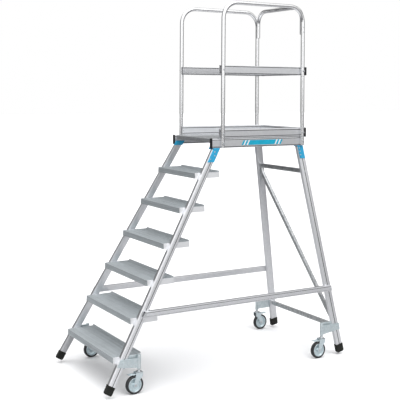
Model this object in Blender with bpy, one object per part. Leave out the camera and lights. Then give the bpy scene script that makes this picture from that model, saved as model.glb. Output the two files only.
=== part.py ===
"""Mobile ladder stand: six treads up to a guarded platform, on four sprung swivel casters.

+X runs from the climbing side to the rear, +Y to the climber's left, +Z up. The origin is the
middle of the footprint, on the floor. Sizes are in metres.
"""

import math

import bmesh
import bpy
from mathutils import Matrix, Vector

GAP = 0.0003
LEFT, RIGHT = 1, -1
SIDES = {"left": LEFT, "right": RIGHT}

# Climbing frame
STEP_PITCH = 0.240
STEP_COUNT = 6
FIRST_STEP_Z = 0.254
TREAD_DEPTH = 0.208
TREAD_HEIGHT = 0.040
TREAD_WALL = 0.003
TREAD_LIP = 0.010
NOSE_LEAD = 0.044  # how far a nose stands in front of the stiles, measured level

# Legs: front stiles and rear legs share one hollow section and one splay
SECTION_WIDTH = 0.058
SECTION_THICKNESS = 0.028
SECTION_WALL = 0.002
BASE_HALF_WIDTH = 0.456
SPLAY = 0.100  # sideways run for each metre of height
FRONT_BASE_X = -1.014
FRONT_LEAN = 0.581
REAR_BASE_X = 0.994
REAR_LEAN = -0.1814
LEG_TOP_Z = 1.622
LEG_BOTTOM_Z = 0.042
FOOT_CLEARANCE = 0.012

# Platform
BEAM_OUTER_Y = 0.2955
BEAM_WIDTH = 0.030
BEAM_BOTTOM_Z = 1.631
BEAM_TOP_Z = 1.697
BEAM_FRONT_X = -0.095
BEAM_REAR_X = 0.720
DECK_TOP_Z = 1.700
DECK_HEIGHT = 0.030

# Guard rail
TUBE_RADIUS = 0.015
TUBE_WALL = 0.002
POST_FRONT_X = -0.023
POST_REAR_X = 0.706
POST_BOTTOM_Z = 1.633
RAIL_Z = 2.706
FRAME_BEND = 0.120
REAR_RAIL_Z = 2.711
REAR_RAIL_LEG_Z = 2.495
REAR_RAIL_BEND = 0.100
REAR_RAIL_INSET = 0.0135  # from the post's axis to that of the rail's leg, which is cut to fit it
BOARD_THICKNESS = 0.022
BOARD_FRONT_X = -0.034
BOARD_END_X = 0.754
MID_RAIL_SPAN = (2.178, 2.240)
TOE_BOARD_TOP_Z = 1.768

# Braces
SIDE_BRACE_SPAN = (0.500, 0.542)
SIDE_BRACE_THICKNESS = 0.027
CROSS_BRACE_SPANS = {"upper": (1.412, 1.445), "lower": (0.204, 0.234)}
CROSS_BRACE_DEPTH = 0.025
DIAGONAL_WIDTH = 0.030

# Casters
PIVOT_X = {"front": -0.764, "rear": 0.808}
PIVOT_Y = 0.440
WHEEL_RADIUS = 0.0625
WHEEL_WIDTH = 0.030
RIM_RADIUS = 0.049
AXLE_RADIUS = 0.006
TRAIL = 0.034
HOUSING_RADIUS = 0.013
HOUSING_SPAN = (0.168, 0.262)
OUTER_PLATE_SPAN = (0.194, 0.244)  # at the leg; it widens towards the housing
OUTER_PLATE_DROP = 0.022
INNER_PLATE_Z = 0.180
WEB_SPAN = (0.180, 0.241)
STEM_RADIUS = 0.0102
STEM_TOP_Z = 0.216
FLANGE_RADIUS = 0.016
FLANGE_THICKNESS = 0.004
PIN_HEAD_RADIUS = 0.009
CROWN_TOP_Z = 0.1485
CROWN_THICKNESS = 0.004
CROWN_REACH = (-0.031, 0.021)  # along the trail, behind and ahead of the pivot
KINGPIN_RADIUS = 0.005
FORK_GAP = 0.036
FORK_PLATE = 0.0025
PEDAL_PIVOT = (-0.024, 0.1345)
PEDAL_LENGTH = 0.061
PLATE = 0.004


def clear_scene():
    for obj in list(bpy.data.objects):
        bpy.data.objects.remove(obj, do_unlink=True)


def new_material(name, colour, roughness, metallic):
    material = bpy.data.materials.new(name)
    material.use_nodes = True
    shader = material.node_tree.nodes["Principled BSDF"]
    shader.inputs["Base Color"].default_value = (*colour, 1.0)
    shader.inputs["Roughness"].default_value = roughness
    shader.inputs["Metallic"].default_value = metallic
    return material


def add_object(name, bm, material, origin=(0.0, 0.0, 0.0)):
    """The closed mesh in bm as an object whose origin is the given point."""
    bmesh.ops.remove_doubles(bm, verts=bm.verts, dist=1e-6)
    bmesh.ops.recalc_face_normals(bm, faces=bm.faces)
    bmesh.ops.translate(bm, verts=bm.verts, vec=-Vector(origin))
    mesh = bpy.data.meshes.new(name)
    bm.to_mesh(mesh)
    bm.free()
    mesh.materials.append(material)
    obj = bpy.data.objects.new(name, mesh)
    obj.location = origin
    bpy.context.scene.collection.objects.link(obj)
    return obj


def add_helper(name, bm):
    """A mesh that a Boolean uses, kept out of the render."""
    obj = add_object(name, bm, HELPER)
    obj.hide_render = True
    obj.display_type = "WIRE"
    return obj


def combine(obj, other, operation):
    boolean = obj.modifiers.new(other.name, "BOOLEAN")
    boolean.operation = operation
    boolean.object = other
    boolean.solver = "EXACT"


def round_edges(obj, width, segments, angle=30.0):
    bevel = obj.modifiers.new("rounding", "BEVEL")
    bevel.width = width
    bevel.segments = segments
    bevel.limit_method = "ANGLE"
    bevel.angle_limit = math.radians(angle)


def add_prism(bm, start, end):
    """Closed prism between two outlines of equal length."""
    first = [bm.verts.new(point) for point in start]
    last = [bm.verts.new(point) for point in end]
    bm.faces.new(first)
    bm.faces.new(last)
    for i in range(len(first)):
        j = (i + 1) % len(first)
        bm.faces.new((first[i], first[j], last[j], last[i]))


def add_sleeve(bm, outer_start, inner_start, outer_end, inner_end):
    """Hollow section, open at both ends: outlines of its outside and its bore at each end."""
    rings = []
    for outline in (outer_start, inner_start, inner_end, outer_end):
        rings.append([bm.verts.new(point) for point in outline])
    for a, b in zip(rings, rings[1:] + rings[:1]):
        for i in range(len(a)):
            j = (i + 1) % len(a)
            bm.faces.new((a[i], a[j], b[j], b[i]))


def rectangle(half_width, half_height):
    return [
        (-half_width, -half_height),
        (half_width, -half_height),
        (half_width, half_height),
        (-half_width, half_height),
    ]


def add_cylinder(bm, radius, z_low, z_high, segments=24, centre=(0.0, 0.0)):
    turn = 2 * math.pi / segments
    outline = [
        (centre[0] + radius * math.cos(i * turn), centre[1] + radius * math.sin(i * turn))
        for i in range(segments)
    ]
    add_prism(bm, [(x, y, z_low) for x, y in outline], [(x, y, z_high) for x, y in outline])


def add_turned(bm, profile, segments, closed=True):
    """Solid turned about the Z axis from (radius, height) points. An open one ends on the axis."""
    verts = [bm.verts.new((radius, 0.0, height)) for radius, height in profile]
    edges = [bm.edges.new(pair) for pair in zip(verts, verts[1:])]
    if closed:
        edges.append(bm.edges.new((verts[-1], verts[0])))
    bmesh.ops.spin(
        bm,
        geom=verts + edges,
        cent=(0.0, 0.0, 0.0),
        axis=(0.0, 0.0, 1.0),
        angle=2 * math.pi,
        steps=segments,
        use_merge=True,
    )


def half_width(z):
    """Distance from the middle plane to the outside of the legs at height z."""
    return BASE_HALF_WIDTH - SPLAY * z


def front_x(z):
    return FRONT_BASE_X + FRONT_LEAN * z


def rear_x(z):
    return REAR_BASE_X + REAR_LEAN * z


def leaning_point(centre_x, side, inward, x_offset, z):
    """Point on a leg: inward of its outside face, and x_offset behind its centre line."""
    return (centre_x(z) + x_offset, side * (half_width(z) - inward), z)


def leaning_outline(centre_x, side, inset, z):
    """The leg's section at height z, shrunk by inset. A negative inset enlarges it."""
    middle = SECTION_THICKNESS / 2
    corners = rectangle(SECTION_WIDTH / 2 - inset, SECTION_THICKNESS / 2 - inset)
    return [leaning_point(centre_x, side, middle + v, u, z) for u, v in corners]


def square_cut(centre_x, side, inset, z, lean):
    """As leaning_outline, cut square to the leg: each corner slides along the leg."""
    middle = SECTION_THICKNESS / 2
    points = []
    for u, v in rectangle(SECTION_WIDTH / 2 - inset, SECTION_THICKNESS / 2 - inset):
        height = z - u * lean / (1 + lean**2)
        points.append(leaning_point(centre_x, side, middle + v, u, height))
    return points


def make_leg(name, centre_x, side):
    bm = bmesh.new()
    ends = []
    for z in (LEG_BOTTOM_Z, LEG_TOP_Z):
        ends.append(leaning_outline(centre_x, side, 0.0, z))
        ends.append(leaning_outline(centre_x, side, SECTION_WALL, z))
    add_sleeve(bm, *ends)
    return add_object(name, bm, ALUMINIUM)


def make_foot(name, centre_x, lean, side):
    """Rubber boot that the leg stands in, its end cut square to the leg."""
    wall = 0.0035
    drop = (SECTION_WIDTH / 2 + wall) * abs(lean) / (1 + lean**2)
    bottom = FOOT_CLEARANCE + drop
    floor = LEG_BOTTOM_Z - GAP
    bm = bmesh.new()
    add_prism(
        bm,
        square_cut(centre_x, side, -wall, bottom, lean),
        square_cut(centre_x, side, -wall, 0.080, lean),
    )
    foot = add_object(name, bm, RUBBER)
    round_edges(foot, 0.0025, 2)
    pocket = bmesh.new()
    add_prism(
        pocket,
        leaning_outline(centre_x, side, -GAP, floor),
        leaning_outline(centre_x, side, -GAP, 0.130),
    )
    combine(foot, add_helper(name + "_pocket", pocket), "DIFFERENCE")
    return foot


def make_pan(name, x_front, depth, top, height, half_span, material):
    """Folded sheet tray, open below. half_span gives its half length at height z."""
    bm = bmesh.new()
    outer, inner = [], []
    for z, store in ((top - height, outer), (top, outer)):
        y = half_span(z)
        store.append([(x_front, -y, z), (x_front + depth, -y, z), (x_front + depth, y, z), (x_front, y, z)])
    front, rear = x_front + TREAD_WALL, x_front + depth - TREAD_WALL
    for z in (top - height, top - TREAD_WALL):
        y = half_span(z) - TREAD_WALL
        inner.append([(front, -y, z), (rear, -y, z), (rear, y, z), (front, y, z)])
    rings = [[bm.verts.new(p) for p in ring] for ring in (outer[1], outer[0], inner[0], inner[1])]
    bm.faces.new(rings[0])
    bm.faces.new(rings[3])
    for a, b in zip(rings, rings[1:]):
        for i in range(len(a)):
            j = (i + 1) % len(a)
            bm.faces.new((a[i], a[j], b[j], b[i]))
    return add_object(name, bm, material)


def tread_span(z):
    return half_width(z) - SECTION_THICKNESS - GAP


def make_treads():
    """Each tread is a tray between the stiles, with a raised lip along its rear edge."""
    for step in range(STEP_COUNT):
        top = FIRST_STEP_Z + step * STEP_PITCH
        nose = front_x(top) - SECTION_WIDTH / 2 - NOSE_LEAD
        name = f"tread_{step + 1}"
        tread = make_pan(name, nose, TREAD_DEPTH, top, TREAD_HEIGHT, tread_span, TREAD)
        lip = bmesh.new()
        rear = nose + TREAD_DEPTH
        ends = []
        for side in (RIGHT, LEFT):
            ends.append(
                [
                    (x, side * tread_span(z), z)
                    for x, z in (
                        (rear - TREAD_LIP, top - TREAD_WALL),
                        (rear, top - TREAD_WALL),
                        (rear, top + TREAD_LIP),
                        (rear - TREAD_WALL, top + TREAD_LIP),
                    )
                ]
            )
        add_prism(lip, *ends)
        combine(tread, add_helper(name + "_lip", lip), "UNION")


def make_deck():
    half = BEAM_OUTER_Y - BEAM_WIDTH - GAP
    make_pan(
        "platform_deck",
        BEAM_FRONT_X,
        BEAM_REAR_X - BEAM_FRONT_X,
        DECK_TOP_Z,
        DECK_HEIGHT,
        lambda z: half,
        ALUMINIUM,
    )


def make_box_tube(name, x_span, y_span, z_span, wall):
    """Level rectangular tube along X or Y, whichever is longer, open at both ends."""
    middle = [(low + high) / 2 for low, high in (x_span, y_span, z_span)]
    half = [(high - low) / 2 for low, high in (x_span, y_span, z_span)]
    along = 0 if half[0] > half[1] else 1
    across = 1 - along
    rings = []
    for end in (-1, 1):
        for inset in (0.0, wall):
            ring = []
            for u, v in rectangle(half[across] - inset, half[2] - inset):
                point = [0.0, 0.0, middle[2] + v]
                point[along] = middle[along] + end * half[along]
                point[across] = middle[across] + u
                ring.append(point)
            rings.append(ring)
    bm = bmesh.new()
    add_sleeve(bm, *rings)
    return add_object(name, bm, ALUMINIUM)


def ordered(side, low, high):
    """A span of distances from the middle plane, on the given side."""
    return (low, high) if side > 0 else (-high, -low)


def make_beams_and_boards():
    """Platform beams, and the flat rails and toe boards that stand inside the posts."""
    inner = BEAM_OUTER_Y - BOARD_THICKNESS
    toe_span = (BEAM_TOP_Z + GAP, TOE_BOARD_TOP_Z)
    for word, side in SIDES.items():
        beam_y = ordered(side, BEAM_OUTER_Y - BEAM_WIDTH, BEAM_OUTER_Y)
        beam_x = (BEAM_FRONT_X, BEAM_REAR_X)
        make_box_tube(f"platform_beam_{word}", beam_x, beam_y, (BEAM_BOTTOM_Z, BEAM_TOP_Z), SECTION_WALL)
        board_x = (BOARD_FRONT_X, BOARD_END_X)
        board_y = ordered(side, inner, BEAM_OUTER_Y)
        make_box_tube(f"mid_rail_{word}", board_x, board_y, MID_RAIL_SPAN, SECTION_WALL)
        make_box_tube(f"toe_board_{word}", board_x, board_y, toe_span, SECTION_WALL)
    rear_x_span = (POST_REAR_X + TUBE_RADIUS + 2 * GAP, POST_REAR_X + TUBE_RADIUS + BOARD_THICKNESS)
    rear_y_span = (GAP - inner, inner - GAP)
    make_box_tube("mid_rail_rear", rear_x_span, rear_y_span, MID_RAIL_SPAN, SECTION_WALL)
    make_box_tube("toe_board_rear", rear_x_span, rear_y_span, toe_span, SECTION_WALL)


def bent_rod(name, corners, bend, radius, closed):
    """Mesh of a round rod along straight runs joined by bends of the given radius."""
    curve = bpy.data.curves.new(name, "CURVE")
    curve.dimensions = "3D"
    spline = curve.splines.new("POLY")
    points = [Vector(corners[0])]
    steps = 6
    for before, corner, after in zip(corners, corners[1:], corners[2:]):
        corner = Vector(corner)
        back = (Vector(before) - corner).normalized()
        on = (Vector(after) - corner).normalized()
        centre = corner + (back + on) * bend
        for i in range(steps + 1):
            turn = i / steps * math.pi / 2
            points.append(centre - on * bend * math.cos(turn) - back * bend * math.sin(turn))
    points.append(Vector(corners[-1]))
    spline.points.add(len(points) - 1)
    for point, place in zip(spline.points, points):
        point.co = (*place, 1.0)
    curve.bevel_depth = radius
    curve.bevel_resolution = 4
    curve.use_fill_caps = closed
    shape = bpy.data.objects.new(name + "_path", curve)
    mesh = bpy.data.meshes.new_from_object(shape)
    bpy.data.objects.remove(shape, do_unlink=True)
    bm = bmesh.new()
    bm.from_mesh(mesh)
    bpy.data.meshes.remove(mesh)
    return bm


def make_bent_tube(name, corners, bend, material):
    tube = add_object(name, bent_rod(name, corners, bend, TUBE_RADIUS, False), material)
    tube.data.materials.clear()
    tube.data.materials.append(material)
    wall = tube.modifiers.new("wall", "SOLIDIFY")
    wall.thickness = TUBE_WALL
    wall.offset = -1.0
    return tube


def make_guard_rail():
    """Two inverted U frames, and the rear top rail, whose legs are cut to hug the rear posts."""
    post_y = BEAM_OUTER_Y + GAP + TUBE_RADIUS
    cutters = []
    for word, side in SIDES.items():
        y = side * post_y
        corners = [
            (POST_FRONT_X, y, POST_BOTTOM_Z),
            (POST_FRONT_X, y, RAIL_Z),
            (POST_REAR_X, y, RAIL_Z),
            (POST_REAR_X, y, POST_BOTTOM_Z),
        ]
        make_bent_tube(f"guard_frame_{word}", corners, FRAME_BEND, ALUMINIUM)
        cutter = bent_rod("cutter", corners, FRAME_BEND, TUBE_RADIUS + GAP, True)
        bmesh.ops.remove_doubles(cutter, verts=cutter.verts, dist=1e-6)
        cutters.append(add_helper(f"post_cutter_{word}", cutter))
    y = post_y - REAR_RAIL_INSET
    corners = [
        (POST_REAR_X, -y, REAR_RAIL_LEG_Z),
        (POST_REAR_X, -y, REAR_RAIL_Z),
        (POST_REAR_X, y, REAR_RAIL_Z),
        (POST_REAR_X, y, REAR_RAIL_LEG_Z),
    ]
    rail = make_bent_tube("top_rail_rear", corners, REAR_RAIL_BEND, ALUMINIUM)
    for cutter in cutters:
        combine(rail, cutter, "DIFFERENCE")


def make_corner_bracket(name, centre_x, side, cheek_span, tab_span):
    """Z-shaped bracket: cheek outside the leg, web on its top, tab up inside the beam."""
    cheek = 0.0075
    tab_face = BEAM_OUTER_Y - BEAM_WIDTH - GAP
    tab_back = tab_face - 0.007
    cheek_z, tab_top_z = 1.530, 1.657
    web_low, web_top = LEG_TOP_Z + GAP, BEAM_BOTTOM_Z - GAP
    cheek_section = [
        (half_width(cheek_z) + GAP, cheek_z),
        (half_width(cheek_z) + cheek, cheek_z),
        (half_width(web_top) + cheek, web_top),
        (tab_face - GAP, web_top),
        (tab_face - GAP, web_low),
        (half_width(web_low) + GAP, web_low),
    ]
    tab_section = [(tab_face, web_low), (tab_face, tab_top_z), (tab_back, tab_top_z), (tab_back, web_low)]
    shapes = []
    for section, x_span in ((cheek_section, cheek_span), (tab_section, tab_span)):
        ends = []
        for offset in x_span:
            ends.append([(centre_x(z) + offset, side * y, z) for y, z in section])
        bm = bmesh.new()
        add_prism(bm, *ends)
        shapes.append(bm)
    bracket = add_object(name, shapes[0], BLUE)
    combine(bracket, add_helper(name + "_tab", shapes[1]), "UNION")
    return bracket


def make_side_brace(word, side):
    """Level tube outside the legs, its ends cut along the stile and the rear leg."""
    low, high = SIDE_BRACE_SPAN
    inner = half_width(low) + 2 * GAP
    rings = []
    for centre_x, offset in ((front_x, -0.012), (rear_x, 0.012)):
        for inset in (0.0, SECTION_WALL):
            ring = []
            for y in (inner + inset, inner + SIDE_BRACE_THICKNESS - inset):
                ring.append((y, low + inset))
            for y in (inner + SIDE_BRACE_THICKNESS - inset, inner + inset):
                ring.append((y, high - inset))
            rings.append([(centre_x(z) + offset, side * y, z) for y, z in ring])
    bm = bmesh.new()
    add_sleeve(bm, *rings)
    return add_object(f"side_brace_{word}", bm, ALUMINIUM)


def make_cross_brace(word, span):
    """Tube between the rear legs, its ends cut to their splay."""
    low, high = span
    middle = rear_x((low + high) / 2)
    rings = []
    for side in (RIGHT, LEFT):
        for inset in (0.0, SECTION_WALL):
            ring = rectangle(CROSS_BRACE_DEPTH / 2 - inset, (high - low) / 2 - inset)
            ring = [(middle + u, (low + high) / 2 + v) for u, v in ring]
            rings.append([(x, side * tread_span(z), z) for x, z in ring])
    bm = bmesh.new()
    add_sleeve(bm, *rings)
    return add_object(f"rear_brace_{word}", bm, ALUMINIUM)


def make_diagonal():
    """Tube from under the upper rear brace on the left to over the lower one on the right."""
    top_z = CROSS_BRACE_SPANS["upper"][0] - 10 * GAP
    low_z = CROSS_BRACE_SPANS["lower"][1] + 10 * GAP
    run = tread_span(top_z) + tread_span(low_z)
    cut = DIAGONAL_WIDTH * math.hypot(run, top_z - low_z) / run
    rings = []
    for side, low, high in ((RIGHT, low_z, low_z + cut), (LEFT, top_z - cut, top_z)):
        for inset in (0.0, SECTION_WALL):
            z_inset = inset * cut / DIAGONAL_WIDTH
            heights = (low + z_inset, high - z_inset)
            depth = CROSS_BRACE_DEPTH / 2 - inset
            corners = [(-depth, heights[0]), (depth, heights[0]), (depth, heights[1]), (-depth, heights[1])]
            rings.append([(rear_x(z) + u, side * tread_span(z), z) for u, z in corners])
    bm = bmesh.new()
    add_sleeve(bm, *rings)
    return add_object("rear_brace_diagonal", bm, ALUMINIUM)


def plate_between(y_low, y_high, outline):
    """Flat plate with the given outline of (x, z) points."""
    bm = bmesh.new()
    add_prism(bm, [(x, y_low, z) for x, z in outline], [(x, y_high, z) for x, z in outline])
    return bm


def make_caster_bracket(name, end, side):
    """Spring housing tube, carried by a plate outside the leg and a boxed plate inside it."""
    centre_x = front_x if end == "front" else rear_x
    back = 1 if end == "front" else -1  # the way from the leg to the housing
    pivot = PIVOT_X[end]
    low, high = HOUSING_SPAN
    outer_y = half_width(0.176) + 2 * GAP
    inner_y = PIVOT_Y - HOUSING_RADIUS - 0.6 * PLATE
    half = SECTION_WIDTH / 2
    inner_top = high - 2 * GAP
    web_low, web_high = WEB_SPAN

    def beside(z, offset):
        return (centre_x(z) + back * offset, z)

    outer_outline = [
        beside(OUTER_PLATE_SPAN[0], -half),
        (pivot, low + PLATE),
        (pivot, high - OUTER_PLATE_DROP),
        beside(OUTER_PLATE_SPAN[1], -half),
    ]
    inner_outline = [
        beside(INNER_PLATE_Z, half + PLATE),
        (pivot, INNER_PLATE_Z),
        (pivot, inner_top),
        beside(inner_top, half + PLATE),
    ]
    web_outline = [
        beside(web_low, half + GAP),
        beside(web_low, half + 2 * PLATE),
        beside(web_high, half + 2 * PLATE),
        beside(web_high, half + GAP),
    ]
    bracket = add_object(
        name, plate_between(*ordered(side, outer_y, outer_y + PLATE), outer_outline), ZINC
    )
    helpers = {
        "inner_plate": plate_between(*ordered(side, inner_y, inner_y + PLATE), inner_outline),
        "web": plate_between(*ordered(side, inner_y + PLATE / 2, outer_y + PLATE / 2), web_outline),
    }
    housing = bmesh.new()
    add_cylinder(housing, HOUSING_RADIUS, low, high, centre=(pivot, side * PIVOT_Y))
    helpers["housing"] = housing
    for word, bm in helpers.items():
        combine(bracket, add_helper(f"{name}_{word}", bm), "UNION")
    bore = bmesh.new()
    bore_radius = STEM_RADIUS + 2.5 * GAP
    add_cylinder(bore, bore_radius, low - PLATE, high - PLATE, centre=(pivot, side * PIVOT_Y))
    combine(bracket, add_helper(f"{name}_bore", bore), "DIFFERENCE")
    return bracket


def make_stem(name, pivot):
    """Sliding stem: guide rod, thrust flange, and the kingpin that holds the fork."""
    flange_low = CROWN_TOP_Z + 3 * GAP
    flange_top = flange_low + FLANGE_THICKNESS
    head_top = CROWN_TOP_Z - CROWN_THICKNESS - 2 * GAP
    head_low = head_top - FLANGE_THICKNESS
    profile = [
        (0.0, STEM_TOP_Z),
        (STEM_RADIUS, STEM_TOP_Z),
        (STEM_RADIUS, flange_top),
        (FLANGE_RADIUS, flange_top),
        (FLANGE_RADIUS, flange_low),
        (KINGPIN_RADIUS, flange_low),
        (KINGPIN_RADIUS, head_top),
        (PIN_HEAD_RADIUS, head_top),
        (PIN_HEAD_RADIUS, head_low),
        (0.0, head_low),
    ]
    bm = bmesh.new()
    add_turned(bm, profile, 20, closed=False)
    bmesh.ops.translate(bm, verts=bm.verts, vec=pivot)
    return add_object(name, bm, ZINC, pivot)


def fork_leg_outline(trail):
    """Side view of a fork leg, from the crown down to a rounded end at the axle."""
    back, ahead = CROWN_REACH
    back_corner_z, front_corner_z, end_radius, steps = 0.128, 0.122, 0.014, 8
    points = [(ahead, CROWN_TOP_Z), (back, CROWN_TOP_Z), (back, back_corner_z)]
    for i in range(steps + 1):
        turn = math.pi + i * math.pi / steps
        x = end_radius * math.cos(turn) - TRAIL
        points.append((x, WHEEL_RADIUS + end_radius * math.sin(turn)))
    points.append((ahead, front_corner_z))
    return [(trail * x, z) for x, z in points]


def make_fork(name, pivot, trail):
    """Crown plate, two legs and the axle between them. trail is 1 when the wheel trails to -X."""
    px, py, _ = pivot
    reach = FORK_GAP / 2 + FORK_PLATE
    outline = [(px + x, z) for x, z in fork_leg_outline(trail)]
    fork = add_object(name, plate_between(py - reach, py - FORK_GAP / 2, outline), ZINC, pivot)
    crown = bmesh.new()
    low = CROWN_TOP_Z - CROWN_THICKNESS
    x_low, x_high = sorted(px + x * trail for x in CROWN_REACH)
    base = [(x_low, -reach), (x_high, -reach), (x_high, reach), (x_low, reach)]
    inset = GAP / 6
    add_prism(
        crown,
        [(x, py + y, low) for x, y in base],
        [(x, py + y, CROWN_TOP_Z - inset) for x, y in base],
    )
    axle = bmesh.new()
    axle_half = reach + FORK_PLATE
    add_cylinder(axle, AXLE_RADIUS, -axle_half, axle_half, segments=16)
    turn = Matrix.Rotation(math.radians(90), 3, "X")
    bmesh.ops.rotate(axle, verts=axle.verts, matrix=turn)
    bmesh.ops.translate(axle, verts=axle.verts, vec=(px - TRAIL * trail, py, WHEEL_RADIUS))
    leg = plate_between(py + FORK_GAP / 2, py + reach, outline)
    for word, bm in (("crown", crown), ("far_leg", leg), ("axle", axle)):
        combine(fork, add_helper(f"{name}_{word}", bm), "UNION")
    hole = bmesh.new()
    add_cylinder(hole, KINGPIN_RADIUS + 2 * GAP, low - PLATE, CROWN_TOP_Z + PLATE, 20, (px, py))
    combine(fork, add_helper(f"{name}_hole", hole), "DIFFERENCE")
    return fork


def make_wheel(name, centre):
    """Pressed rim on a hub, and the solid tyre around it, both turned about the axle."""
    hub, bore, lip = 0.0165, AXLE_RADIUS + 0.0003, 0.013
    rim_profile = [
        (bore, -hub),
        (0.013, -hub),
        (0.015, -0.004),
        (0.040, -0.004),
        (0.042, -lip),
        (RIM_RADIUS, -lip),
        (RIM_RADIUS, lip),
        (0.042, lip),
        (0.040, 0.004),
        (0.015, 0.004),
        (0.013, hub),
        (bore, hub),
    ]
    half = WHEEL_WIDTH / 2
    tyre_profile = [
        (RIM_RADIUS + GAP, -half),
        (WHEEL_RADIUS - 0.004, -half),
        (WHEEL_RADIUS, -half + 0.005),
        (WHEEL_RADIUS, half - 0.005),
        (WHEEL_RADIUS - 0.004, half),
        (RIM_RADIUS + GAP, half),
    ]
    turn = Matrix.Rotation(math.radians(90), 3, "X")
    for part, profile, material in (("rim", rim_profile, RIM), ("tyre", tyre_profile, TYRE)):
        bm = bmesh.new()
        add_turned(bm, profile, 28)
        bmesh.ops.rotate(bm, verts=bm.verts, matrix=turn)
        bmesh.ops.translate(bm, verts=bm.verts, vec=centre)
        add_object(f"{name}_{part}", bm, material, centre)


def make_pedal(name, pivot, trail):
    """Brake pedal hinged across the fork, with a shoe that its travel presses on the tyre."""
    px, py, _ = pivot
    hinge_x, hinge_z = PEDAL_PIVOT
    tip = hinge_x - PEDAL_LENGTH
    outline = [
        (hinge_x + 0.003, hinge_z + 0.003),
        (hinge_x - 0.004, hinge_z + 0.004),
        (tip + 0.008, hinge_z + 0.001),
        (tip, hinge_z + 0.005),
        (tip - 0.001, hinge_z + 0.002),
        (tip + 0.008, hinge_z - 0.002),
        (-0.052, hinge_z - 0.0015),
        (-0.050, hinge_z - 0.0045),
        (-0.042, hinge_z - 0.0045),
        (-0.040, hinge_z - 0.0010),
        (hinge_x + 0.003, hinge_z - 0.003),
    ]
    half = FORK_GAP / 2 - 0.001
    bm = plate_between(py - half, py + half, [(px + trail * x, z) for x, z in outline])
    return add_object(name, bm, ZINC, (px + trail * hinge_x, py, hinge_z))


def make_caster(end, word, side):
    trail = 1 if side == RIGHT else -1
    name = f"caster_{end}_{word}"
    pivot = (PIVOT_X[end], side * PIVOT_Y, 0.0)
    make_caster_bracket(name + "_bracket", end, side)
    make_stem(name + "_stem", pivot)
    make_fork(name + "_fork", pivot, trail)
    make_wheel(name, (pivot[0] - TRAIL * trail, pivot[1], WHEEL_RADIUS))
    make_pedal(name + "_brake_pedal", pivot, trail)


def make_legs_and_brackets():
    cheek_spans = {"front": (-0.024, 0.030), "rear": (-0.024, 0.024)}
    tab_spans = {"front": (-0.044, 0.031), "rear": (-0.031, 0.031)}
    legs = {"front": ("stile", front_x, FRONT_LEAN), "rear": ("rear_leg", rear_x, REAR_LEAN)}
    for word, side in SIDES.items():
        for end, (kind, centre_x, lean) in legs.items():
            make_leg(f"{kind}_{word}", centre_x, side)
            make_foot(f"foot_{end}_{word}", centre_x, lean, side)
            bracket = f"corner_bracket_{end}_{word}"
            make_corner_bracket(bracket, centre_x, side, cheek_spans[end], tab_spans[end])
        make_side_brace(word, side)


clear_scene()
HELPER = new_material("helper", (1.0, 0.2, 0.2), 0.5, 0.0)
ALUMINIUM = new_material("aluminium", (0.76, 0.77, 0.79), 0.38, 0.9)
TREAD = new_material("tread", (0.42, 0.45, 0.47), 0.45, 0.9)
ZINC = new_material("zinc", (0.52, 0.58, 0.60), 0.35, 0.9)
RIM = new_material("rim", (0.45, 0.53, 0.56), 0.35, 0.7)
BLUE = new_material("blue_moulding", (0.03, 0.33, 0.62), 0.45, 0.0)
RUBBER = new_material("rubber", (0.02, 0.02, 0.02), 0.7, 0.0)
TYRE = new_material("tyre", (0.025, 0.027, 0.03), 0.6, 0.0)

make_legs_and_brackets()
make_treads()
make_beams_and_boards()
make_deck()
make_guard_rail()
for brace, height_span in CROSS_BRACE_SPANS.items():
    make_cross_brace(brace, height_span)
make_diagonal()
for caster_end in PIVOT_X:
    for side_word, side_sign in SIDES.items():
        make_caster(caster_end, side_word, side_sign)
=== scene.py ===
"""Finished model of a mobile ladder stand, built piece by piece round its fixed CAD frame."""

import math

import bmesh
import bpy
from mathutils import Matrix, Vector


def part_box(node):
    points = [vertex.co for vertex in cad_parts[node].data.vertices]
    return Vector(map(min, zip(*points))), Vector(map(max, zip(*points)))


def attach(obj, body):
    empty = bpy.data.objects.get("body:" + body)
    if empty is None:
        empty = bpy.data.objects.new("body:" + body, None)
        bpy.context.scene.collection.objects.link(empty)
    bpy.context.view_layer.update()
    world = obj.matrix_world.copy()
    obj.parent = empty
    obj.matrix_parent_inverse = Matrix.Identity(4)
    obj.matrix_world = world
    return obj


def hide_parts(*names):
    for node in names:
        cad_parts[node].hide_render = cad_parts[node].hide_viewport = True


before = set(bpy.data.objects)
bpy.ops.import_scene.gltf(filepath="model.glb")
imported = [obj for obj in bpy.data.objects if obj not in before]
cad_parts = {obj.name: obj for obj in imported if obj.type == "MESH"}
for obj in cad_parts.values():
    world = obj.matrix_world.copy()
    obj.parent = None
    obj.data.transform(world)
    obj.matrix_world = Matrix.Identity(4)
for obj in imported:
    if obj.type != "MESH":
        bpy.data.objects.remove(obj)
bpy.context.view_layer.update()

# ----------------------------------------------------------------------
# Stiles and rear legs: four lengths of hollow rectangular aluminium extrusion, satin from the
# press, with one long groove down the outside face. They lean together and towards the middle,
# and everything else on the stand is bolted or riveted to them.

GAP = 0.0003
LEG_WIDTH = 0.058
LEG_THICKNESS = 0.028
LEG_WALL = 0.002
GROOVE_DEPTH = 0.0022
GROOVE_HALF = 0.0031
STEP_BACK = 0.0010
SIDES = {"left": 1, "right": -1}
LEANS = {"stile": 1, "rear_leg": -1}
END_OF = {"stile": "front", "rear_leg": "rear"}
GROOVE_AT = {"stile": 0.0064, "rear_leg": 0.0}
FINISH_OUTPUTS = [("Color", "Color"), ("Roughness", "Float"), ("Height", "Float")]


def add_node(tree, kind, sockets=None, **settings):
    """A node with its settings, and each named input given a value or an output to follow."""
    node = tree.nodes.new(kind)
    for key, value in settings.items():
        setattr(node, key, value)
    set_sockets(tree, node, sockets or {})
    return node


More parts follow.
